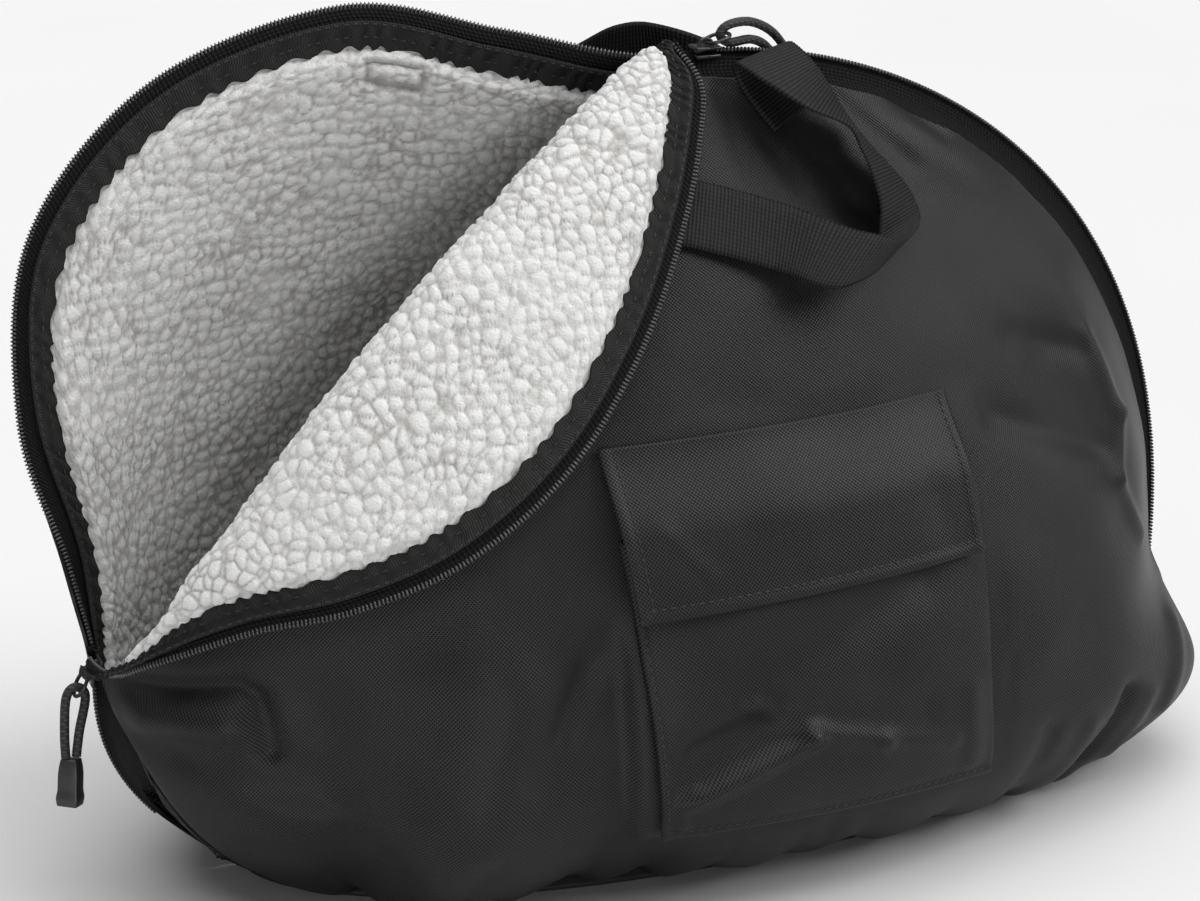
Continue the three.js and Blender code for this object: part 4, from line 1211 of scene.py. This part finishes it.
def panel_lining(name, points_at, u, up, sign, start_x, open_limit, node):
    """The lining of a panel, from the base up to the zip or the open edge."""
    reach = Reach(points_at, u, rim_line(start_x))
    limit = np.where(is_open(u), open_limit, reach.up(REVEAL + PILE_EDGE))
    points = points_at(u, up[:, None] * limit)
    slope = smooth((1 - up) * PILE_STEEPNESS)[:, None]
    depth = lerp(BINDING_DEPTH - BINDING, PILE_DEPTH, slope)
    inner = sunk(points, depth + 0 * limit, sign)
    inner[..., 1] = np.maximum(sign * inner[..., 1], 2 * GAP) * sign
    inner[..., 2] = np.maximum(inner[..., 2], PILE_FLOOR)
    lining(name, faced(inner, -sign), lerp(PILE_AT_EDGE, 1, slope) + 0 * limit, SHERPA_PAINTED_SHADE, node)


front_u = np.linspace(*LINING_ENDS, 120)
front_up = np.linspace(0, 1, 64)
panel_lining("front_pile", front_points, front_u, front_up, -1, TIP_X, FRONT_PILE_TOP, "lining_front")

# The back's lining has its finest grid where it shows in the mouth
MOUTH_FROM, MOUTH_TO, MOUTH_LOW = 0.1, 0.56, 0.4
back_u = np.concatenate([
    np.linspace(LINING_ENDS[0], MOUTH_FROM, 20, endpoint=False),
    np.linspace(MOUTH_FROM, MOUTH_TO, 340, endpoint=False),
    np.linspace(MOUTH_TO, LINING_ENDS[1], 40),
])
back_up = np.concatenate([np.linspace(0, MOUTH_LOW, 30, endpoint=False), np.linspace(MOUTH_LOW, 1, 200)])
back_limit = back_ups(back_u, (BINDING_TO * back_taper(open_share(back_u)) - 1)[None])[0]
panel_lining("back_pile", back_points, back_u, back_up, 1, SLIDER_TOP_X, back_limit, "lining_back")

# Base
BASE_POINTS = 96
BASE_THICKNESS = 2
BASE_PILE_MIDDLE = 15
BASE_PILE_HALF_LENGTH, BASE_PILE_HALF_DEPTH = 180, 70
BASE_PILE_HEIGHT = 6.6
BASE_PILE_POINTS = 90


def base_mesh(name):
    """A flat plate on the floor, out to the panels' lower edge."""
    bm = bmesh.new()
    bmesh.ops.create_circle(bm, cap_ends=True, segments=BASE_POINTS, radius=1)
    for vert in bm.verts:
        side = -1 if vert.co.y < 0 else 1
        x = vert.co.x * half_length(SEAM_HEIGHT, vert.co.x > 0)
        edge = skin(np.asarray(x), rise_at(SEAM_HEIGHT), side)
        vert.co = Vector((edge[0], edge[1], BASE_THICKNESS)) * MM
    bm.normal_update()
    for face in bm.faces:
        if face.normal.z < 0:
            face.normal_flip()
    return mesh_from(name, bm)


base = finished("base_cloth", base_mesh("base_cloth"), NYLON_CLOTH, "nylon", "base_panel")
thicken(base, BASE_THICKNESS)

base_u = np.linspace(-1, 1, BASE_PILE_POINTS)
base_grid_x, base_grid_y = np.meshgrid(base_u, base_u)
reach_x = base_grid_x * np.sqrt(1 - base_grid_y**2 / 2)
reach_y = base_grid_y * np.sqrt(1 - base_grid_x**2 / 2)
base_x = BASE_PILE_MIDDLE + reach_x * BASE_PILE_HALF_LENGTH
base_points = np.stack([base_x, reach_y * BASE_PILE_HALF_DEPTH, 0 * reach_x + BASE_PILE_HEIGHT], -1)
lining("base_pile", base_points, 0 * reach_x + 1, SHERPA_PAINTED_SHADE, "lining_base")

# Open zip edges
TEETH_PITCH = 1.4
TOOTH = (1.12, 3.2, 1.7)
STITCH_PITCH = 3.4
STITCH = (2.5, 0.75, 0.6)
TAPE_FROM = 0.4  # distances from the open edge
TEETH_AT = 0.9
STITCHES_AT = {"outer": 6.6, "inner": 10.6}
TEETH_SINK = 0.3
NEAR = 0.2
RIPPLES = 330
RIPPLE, RIPPLE_LIFT = 0.9, 0.45
RIPPLE_DRIFT, RIPPLE_DRIFT_SIZE, RIPPLE_DRIFT_LENGTH = 4, 1.7, 60
LOOSE_WIDTH = 5  # width of the binding that isn't sewn down
band_shares = np.linspace(0, 1, 500)


def open_edge(end, band, taper):
    """Tape, binding, teeth and stitches along one open half of the zip."""
    def points(shares, distances, depth):
        share, apart = grid(shares, np.asarray(distances, float))
        return band(share, apart * taper(share), depth + 0 * share)

    def row(name, distance, depth, pitch, size, material, slot, node):
        near = distance + np.array([-NEAR, 0, NEAR])

        def line(shares):
            return points(shares, near, depth)[1]

        def out(shares):
            return points(shares, near, depth + 1)[1] - line(shares)

        bodies(name, frames_along(line, out, even_shares(line, pitch)), size, material, slot, node)

    tape = points(band_shares, np.linspace(TAPE_FROM, TAPE_WIDTH, 11), TAPE_DEPTH + TAPE)
    cloth(f"{end}_tape", faced(tape, -1), TAPE, ZIP_TAPE, "zip_tape", f"zip_tape_{end}")
    share, apart = grid(band_shares, np.linspace(BINDING_TO, BINDING_FROM, 12))
    drift = RIPPLE_DRIFT * noise(share * RIPPLE_DRIFT_LENGTH, share * 0, RIPPLE_DRIFT_SIZE, 2)
    phase = RIPPLES * share + drift
    loose = 1 - smooth((BINDING_FROM + LOOSE_WIDTH - apart) / LOOSE_WIDTH)
    ripple = RIPPLE * np.sin(phase) * loose
    sink = BINDING_DEPTH + RIPPLE_LIFT * np.cos(phase) * loose
    binding = band(share, (apart + ripple) * taper(share), sink)
    cloth(f"{end}_binding", faced(binding, -1), BINDING, BINDING_CLOTH, "zip_tape", f"binding_{end}")
    teeth_depth = TAPE_DEPTH + TEETH_SINK
    row(f"{end}_teeth", TEETH_AT, teeth_depth, TEETH_PITCH, TOOTH, TEETH, "zip_coil", f"zip_coil_{end}")
    for side, distance in STITCHES_AT.items():
        row(f"{end}_stitches_{side}", distance, BINDING_DEPTH, STITCH_PITCH, STITCH, THREAD, "zip_tape",
            f"binding_{end}")


open_edge("flap", flap_band, flap_taper)
open_edge("back", back_band, back_taper)

# Closed zip stretches
ZIP_END = 0.985
STRIP_HEM = 3
STRIP_ROWS = 16
STRIP_SINK, STRIP_SINK_OVER = 2.0, 8  # the tape's depth under the nylon and the width it takes to reach it
CLOSED_TOOTH = (1.08, 2.6, 1.5)
CLOSED_PITCH = TEETH_PITCH / 2
CLOSED_STAGGER = 1.0
TEETH_PAST_SLIDER = 4
LEFT_TEETH = (0.08, 0.93)
right_shares = np.linspace(0.0, ZIP_END, 320)
left_shares = np.linspace(0, 1.06, 70)  # from the foot of the zip to just past the slider


def strip_depth(distance):
    return lerp(0.0, STRIP_SINK, smooth(distance / STRIP_SINK_OVER))


def strip_cloth(name, strip, shares, node):
    """The tape on one side of a closed zip."""
    share, apart = grid(shares, np.linspace(0, strip.width + STRIP_HEM, STRIP_ROWS))
    points = strip(share, apart, strip_depth(apart))
    points[..., 1] = strip.sign * np.maximum(strip.sign * points[..., 1], 0)
    cloth(name, faced(points, strip.sign), TAPE, ZIP_TAPE, "zip_tape", node)


closed_ends = (("right", right_u, right_shares, RIGHT_REVEAL), ("left", left_u, left_shares, LEFT_REVEAL))
for end, u_of, shares, width in closed_ends:
    front_strip = Strip(front_points, u_of, TIP_X, -1, width)
    back_strip = Strip(back_points, u_of, SLIDER_TOP_X, 1)
    strip_cloth(f"{end}_zip_tape_front", front_strip, shares, f"zip_closed_{end}")
    strip_cloth(f"{end}_zip_tape_back", back_strip, shares, f"zip_closed_{end}")


def right_teeth_rim(share):
    return right_rim(share * ZIP_END, SLIDER_TOP_X + TEETH_PAST_SLIDER)


def left_teeth_rim(share):
    return left_rim(lerp(*LEFT_TEETH, share))


def closed_teeth(name, rim, node):
    """Meshed teeth along a closed stretch of the zip."""
    def line(some):
        x, z = rim(some)
        return np.stack([x, 0 * x, z], -1)

    def out(some):
        x, z = rim(some)
        ahead = line(np.minimum(some + STEP, 1)) - line(np.maximum(some - STEP, 0))
        outward = np.stack([ahead[..., 2], 0 * x, -ahead[..., 0]], -1)
        sign = np.sign(outward[..., 0] * x + outward[..., 2] * (z - ZIP_MIDDLE))
        return outward * sign[..., None]

    frames = frames_along(line, out, even_shares(line, CLOSED_PITCH))
    bodies(name, frames, CLOSED_TOOTH, TEETH, "zip_coil", node, offset=CLOSED_STAGGER)


closed_teeth("right_zip_teeth", right_teeth_rim, "zip_closed_right")
closed_teeth("left_zip_teeth", left_teeth_rim, "zip_closed_left")

# Pocket and its cover
POCKET_BOTTOM, POCKET_TOP = 38, 140
POCKET_LEFT, POCKET_RIGHT = (-47, -55), (80, 84)  # at the bottom and at the top
POCKET_SIZE = (133, 103)
POCKET_COLUMNS, POCKET_ROWS = 140, 110
POCKET_CLOTH = 1.2
POCKET_GAP = 0.4
POCKET_PUFF = 6.5
POCKET_DENTS = 0.5
POCKET_SEWN = 9  # how steeply its creases begin at the sewn edges
POCKET_HEM, POCKET_HEM_AT = 0.9, 0.012
POCKET_HEM_WIDTH, POCKET_HEM_HEIGHT = 0.012, 0.014
POCKET_CREASES = [
    (4, 69, -40, 52, 3.4, 4),
    (-6, 78, -34, 66, 8, -5),
    (-24, 70, -42, 60, 6, -1.8),
    (-15, 83, 7, 71, 3.6, 2),
    (7, 71, 34, 63.5, 3.6, 1.8),
    (34, 63.5, 62, 57, 3.4, 1.2),
    (14, 78, 50, 72, 8, -1.8),
    (52, 116, -18, 90, 10, -2.6),
    (-44, 50, -39, 43, 2.2, 2.6),
    (84, 74, 80, 44, 3.4, -2.6),
    (72, 72, 72, 46, 5, 1.6),
]
COVER_LEFT, COVER_RIGHT = (-52.5, -57), (78, 76.5)  # at the bottom and at the top
COVER_BOTTOM, COVER_TOP = (114, 119), (169, 172)  # at the left and at the right
COVER_SIZE = (132, 54)
COVER_COLUMNS, COVER_ROWS = 140, 60
COVER_STANDS_OFF = 6.5
COVER_SEWN_FROM = 0.45  # share of its height
COVER_SEWN = 4  # how steeply its creases begin there
COVER_DENTS = 0.3
COVER_FOLD, COVER_FOLD_SIDE, COVER_FOLD_LOW = 0.5, 0.015, 0.03  # height and places of its turned-in edges
COVER_CREASES = [
    (-40, 140, -28, 126, 5, 0.8),
    (62, 140, 66, 122, 6, -0.6),
    (0, 165, 10, 120, 14, 0.5),
]


def pocket_points(across, up):
    """Places on the pocket's outer face."""
    x = lerp(lerp(*POCKET_LEFT, up), lerp(*POCKET_RIGHT, up), across)
    z = lerp(POCKET_BOTTOM, POCKET_TOP, up)
    swell = np.maximum(np.sin(np.pi * across), 0) ** 0.5 * np.maximum(np.sin(np.pi * up), 0) ** 0.5
    edge = np.minimum(1, POCKET_SEWN * np.minimum(np.minimum(across, 1 - across), up))
    hem = bell(across - POCKET_HEM_AT, POCKET_HEM_WIDTH) + bell(up - POCKET_HEM_AT, POCKET_HEM_HEIGHT)
    wrinkled = relief(x, z, POCKET_CREASES) + POCKET_DENTS * unevenness(x, z, 9)
    stand = POCKET_PUFF * swell + wrinkled * edge
    lift = POCKET_GAP + POCKET_CLOTH + (stand + np.sqrt(stand**2 + 1)) / 2 + POCKET_HEM * hem
    return on_front(x, z, lift)


def cover_points(across, up):
    """Places on the outer face of the pocket's cover."""
    x = lerp(lerp(*COVER_LEFT, up), lerp(*COVER_RIGHT, up), across)
    z = lerp(lerp(*COVER_BOTTOM, across), lerp(*COVER_TOP, across), up)
    drop = COVER_STANDS_OFF * (1 - smooth((up - COVER_SEWN_FROM) / (1 - COVER_SEWN_FROM)))
    sides = [bell(place - COVER_FOLD_SIDE, COVER_FOLD_SIDE) for place in (across, 1 - across)]
    hem = COVER_FOLD * (sides[0] + sides[1] + bell(up - COVER_FOLD_LOW, COVER_FOLD_LOW))
    soft = relief(x, z, COVER_CREASES) + COVER_DENTS * unevenness(x, z, 12)
    lift = POCKET_GAP + POCKET_CLOTH + drop + hem + soft * smooth((1 - up) * COVER_SEWN)
    return on_front(x, z, lift)


def patch(name, points_at, columns, rows, size, node):
    across, up = np.meshgrid(np.linspace(0, 1, columns + 1), np.linspace(0, 1, rows + 1))
    uv = np.stack([across * size[0], up * size[1]], -1)
    return cloth(name, points_at(across, up), POCKET_CLOTH, NYLON_CLOTH, "nylon", node, uv=uv)


patch("pocket_cloth", pocket_points, POCKET_COLUMNS, POCKET_ROWS, POCKET_SIZE, "pocket_panel")
patch("cover_cloth", cover_points, COVER_COLUMNS, COVER_ROWS, COVER_SIZE, "pocket_flap")


def patch_stitches(name, points_at, start, end, node):
    """Stitches on a patch between two places given as shares across and up it."""
    def line(some):
        across, up = (lerp(start[k], end[k], some) for k in (0, 1))
        return points_at(across, up)

    def out(some):
        across, up = (lerp(start[k], end[k], some) for k in (0, 1))
        dx = points_at(across + STEP, up) - points_at(across - STEP, up)
        dz = points_at(across, up + STEP) - points_at(across, up - STEP)
        return np.cross(dx, dz)

    frames = frames_along(line, out, even_shares(line, STITCH_PITCH))
    bodies(name, frames, STITCH, THREAD, "nylon", node)


COVER_HEM = 0.075
COVER_STITCHES = {
    # side, then the start and the end of the row
    "bottom": ((0.04, COVER_HEM), (0.96, COVER_HEM)),
    "left": ((0.04, COVER_HEM), (0.04, 0.97)),
    "right": ((0.975, COVER_HEM), (0.975, 0.97)),
}
POCKET_STITCHES = {
    "bottom": ((0.03, 0.03), (0.97, 0.03)),
    "left": ((0.02, 0.03), (0.02, 0.76)),
}
for side, (start, end) in COVER_STITCHES.items():
    patch_stitches(f"cover_stitches_{side}", cover_points, start, end, "pocket_flap")
for side, (start, end) in POCKET_STITCHES.items():
    patch_stitches(f"pocket_stitches_{side}", pocket_points, start, end, "pocket_panel")

# Webbing straps
WEBBING = 25
WEBBING_THICKNESS = 1.6
RIB = 0.22
STRAP_COLUMNS = 16
STRAP_FACETS = 3  # per rib
STRAP_EDGE, STRAP_EDGE_POWER = 0.35, 12  # how much thinner its edges are, and how suddenly
WELD = 1e-6  # in metres
HANDLE_FRONT = [
    # x, y, z of the lower edge, then of the upper edge
    (-54, -37, 234, -46, -24, 253.5),
    (-18, -44, 229, -10, -30, 248.5),
    (16, -54.5, 219, 24.5, -41, 238.5),
    (27, -64.5, 215, 44, -54, 231),
    (35.5, -69, 214, 53.5, -59, 228.5),
    (47, -66.5, 216.5, 64, -57, 225.5),
    (55.5, -58, 218.5, 76, -47, 226.5),
    (58, -52, 225.5, 81.5, -36.5, 228),
    (60, -48.5, 235.5, 79.5, -32, 235.5),
    (57.5, -46, 247, 73, -30, 244),
    (54, -44.5, 255.5, 65.5, -26.5, 252.5),
    (50, -42, 263.5, 61, -20.5, 260),
    (37, -35.5, 269.5, 53.5, -17.5, 273),
    (24.5, -24, 278, 47.5, -15, 282),
    (19.5, -13, 281.5, 43.5, -8, 286.5),
    (23, -12, 272, 45.5, -5, 280.5),
    (31.5, -21.5, 258, 53, -13.5, 268),
]
HANDLE_BACK = [
    # x, y, z, then the width direction
    (-82, 57.6, 247, 0.97, -0.2, 0.1),
    (-80, 55, 263, 0.95, -0.1, -0.2),
    (-70, 60, 272, 0.6, 0.1, -0.8),
    (-48, 66, 268, 0.1, -0.15, -0.97),
    (-22, 62, 261, -0.2, -0.2, -0.95),
    (0, 50, 272, -0.1, -0.15, -0.98),
    (18, 44, 272, 0.1, -0.1, -0.98),
    (33, 38, 264, -0.5, 0, -0.8),
    (42, 31, 253, -0.95, 0.1, -0.2),
    (43, 34.5, 240, -0.97, 0.1, 0),
]


def strap(name, edges, node):
    """Ribbed webbing between two edge lines, given as rows of six numbers."""
    lines = curve_through(edges)

    def path(share):
        rows = lines(share)
        return (rows[..., :3] + rows[..., 3:]) / 2

    shares = even_shares(path, RIB_PITCH / STRAP_FACETS)
    ahead = unit(path(np.minimum(shares + STEP, 1)) - path(np.maximum(shares - STEP, 0)))
    rows = lines(shares)
    width = rows[..., 3:] - rows[..., :3]
    face = unit(np.cross(ahead, width))
    s = np.arange(len(shares)) * RIB_PITCH / STRAP_FACETS
    across = np.linspace(-0.5, 0.5, STRAP_COLUMNS + 1)
    ribs = RIB * np.cos(2 * np.pi * s / RIB_PITCH)
    edge = STRAP_EDGE * np.abs(2 * across) ** STRAP_EDGE_POWER
    points = path(shares)[None] + width[None] * across[:, None, None]
    lift = WEBBING_THICKNESS / 2 + ribs[None] - edge[:, None]
    faces = [points + face[None] * sign * lift[..., None] for sign in (1, -1)]
    uv = np.stack(np.broadcast_arrays(s[None], (across * WEBBING)[:, None]), -1)
    loop = np.concatenate([faces[0], faces[1][::-1], faces[0][:1]])
    uv_loop = np.concatenate([uv, uv[::-1], uv[:1]])
    mesh = sheet_mesh(name, loop, uv_loop)
    bm = bmesh.new()
    bm.from_mesh(mesh)
    bmesh.ops.remove_doubles(bm, verts=bm.verts, dist=WELD)
    bmesh.ops.holes_fill(bm, edges=[edge for edge in bm.edges if edge.is_boundary], sides=0)
    bmesh.ops.recalc_face_normals(bm, faces=bm.faces)
    bm.to_mesh(mesh)
    bm.free()
    return finished(name, mesh, WEBBING_CLOTH, "webbing", node)


back_middle, back_width = np.split(np.array(HANDLE_BACK), 2, axis=1)
back_half = unit(back_width) * WEBBING / 2
strap("front_strap", HANDLE_FRONT, "handle_front")
strap("back_strap", np.hstack([back_middle - back_half, back_middle + back_half]), "handle_back")

# Sliders and hoops
SLIDER_LENGTH = 10
SLIDER_WIDTH = 8.5
SLIDER_HEIGHT = 4
SLIDER_TOP = 1.5
SLIDER_PLATE = 1.2
SLIDER_TAPER = 0.3
SLIDER_BEVEL = 0.45
SLIDER_CORE = (4, 1.6, 3)
SLIDER_CORE_X = 2.5
HOOP_RADIUS = 4.6
HOOP_WIRE = 0.7
HOOP_STEPS = 28
BRIDGE_REACH = 2.6
BRIDGE_SINK = 0.2
BRIDGE_STEPS = 12
METAL_WELD = 1e-4
HOOP_TILTS = {"left": 0.5, "top": 0.3}


def ring(bm, radius, wire, angle, steps):
    """A round wire bent through an angle about the y axis."""
    turn = Matrix.Translation((radius, 0, 0))
    circle = bmesh.ops.create_circle(bm, segments=10, radius=wire, matrix=turn)
    edges = {edge for vert in circle["verts"] for edge in vert.link_edges}
    full = abs(angle - 2 * math.pi) < TINY
    bmesh.ops.spin(bm, geom=[*circle["verts"], *edges], cent=(0, 0, 0), axis=(0, 1, 0), dvec=(0, 0, 0),
                   angle=-angle, steps=steps, use_merge=full)


def metal_piece(name, bm, matrix, node):
    bmesh.ops.remove_doubles(bm, verts=bm.verts, dist=METAL_WELD)
    return finished(name, placed_mesh(name, bm, matrix), COATED, "slider_metal", node)


def slider(end, rim, ahead):
    """A slider with its bridge and hoop at a place of the rim, pointing to the next place."""
    rim, ahead = np.array(rim, float), np.array(ahead, float)
    along = unit(np.array([ahead[0] - rim[0], 0, ahead[1] - rim[1]]))
    out = np.array([along[2], 0, -along[0]])
    if out[0] * rim[0] + out[2] * (rim[1] - ZIP_MIDDLE) < 0:
        out = -out
    matrix = Matrix.Identity(4)
    for k, axis in enumerate((along, np.cross(out, along), out)):
        matrix.col[k][:3] = axis
    matrix.col[3][:3] = (rim[0], 0, rim[1])
    body = bmesh.new()
    plate = Matrix.Diagonal((SLIDER_LENGTH, SLIDER_WIDTH, SLIDER_PLATE, 1))
    for height in (SLIDER_TOP - SLIDER_PLATE / 2, SLIDER_TOP - SLIDER_HEIGHT + SLIDER_PLATE / 2):
        bmesh.ops.create_cube(body, size=1, matrix=Matrix.Translation((0, 0, height)) @ plate)
    core_place = Matrix.Translation((SLIDER_CORE_X, 0, SLIDER_TOP - SLIDER_HEIGHT / 2))
    bmesh.ops.create_cube(body, size=1, matrix=core_place @ Matrix.Diagonal((*SLIDER_CORE, 1)))
    for vert in body.verts:
        vert.co.y *= 1 - SLIDER_TAPER * max(0, -vert.co.x / SLIDER_LENGTH * 2)
    rounded(body, SLIDER_BEVEL)
    arch = bmesh.new()
    ring(arch, BRIDGE_REACH, HOOP_WIRE, math.pi, BRIDGE_STEPS)
    lift = Matrix.Translation((0, 0, SLIDER_TOP - BRIDGE_SINK))
    metal_piece(f"{end}_slider_body", body, matrix, f"slider_{end}")
    metal_piece(f"{end}_slider_bridge", arch, matrix @ lift, f"slider_{end}")
    hoop = bmesh.new()
    ring(hoop, HOOP_RADIUS, HOOP_WIRE, 2 * math.pi, HOOP_STEPS)
    flat = Matrix.Rotation(math.pi / 2, 4, "X")
    seat = Matrix.Translation((0, 0, SLIDER_TOP + HOOP_WIRE + GAP))
    tilt = seat @ Matrix.Rotation(HOOP_TILTS[end], 4, "Y") @ Matrix.Translation((-HOOP_RADIUS, 0, 0)) @ flat
    metal_piece(f"{end}_pull_hoop", hoop, matrix @ tilt, f"hoop_{end}")


slider("left", left_rim(1), rim_opening(0.02))
slider("top", right_rim(0, SLIDER_TOP_X), rim_opening(0.98))

# Floor and light
FLOOR_SIZE = 40
WORLD_STRENGTH = 0.18


def floor_finish():
    finish = Finish("pale_floor", 0.9, Specular_IOR_Level=0.1)
    place = finish.node("TexCoord").outputs["Object"]
    finish.colour(finish.ramp(finish.noise(place, 3.0), (0.6, 0.6, 0.6), (0.63, 0.63, 0.63)))
    return finish.material


floor_bm = bmesh.new()
bmesh.ops.create_grid(floor_bm, x_segments=1, y_segments=1, size=FLOOR_SIZE / 2)
floor_mesh = mesh_from("floor", floor_bm)
floor_mesh.materials.append(floor_finish())
floor = bpy.data.objects.new("floor", floor_mesh)
bpy.context.collection.objects.link(floor)

bpy.context.scene.view_settings.view_transform = "Standard"
world = bpy.data.worlds.new("studio")
bpy.context.scene.world = world
world.use_nodes = True
background = world.node_tree.nodes["Background"].inputs
background["Color"].default_value = (1, 1, 1, 1)
background["Strength"].default_value = WORLD_STRENGTH


def lamp(name, kind, power, place, target=(0, 0, 0)):
    """Puts up a lamp that shines from a place to a target and returns its data."""
    data = bpy.data.lights.new(name, kind)
    data.energy = power
    light = bpy.data.objects.new(name, data)
    light.matrix_world = look(place, target)
    bpy.context.collection.objects.link(light)
    return data


lamp("key", "SUN", 2.1, (900, -420, 760)).angle = math.radians(36)
lamp("overhead", "SUN", 2.9, (0, 60, 1000)).angle = math.radians(70)
lamp("low_left", "AREA", 6, (-620, -1300, 120), (-100, -60, 70)).size = 0.35
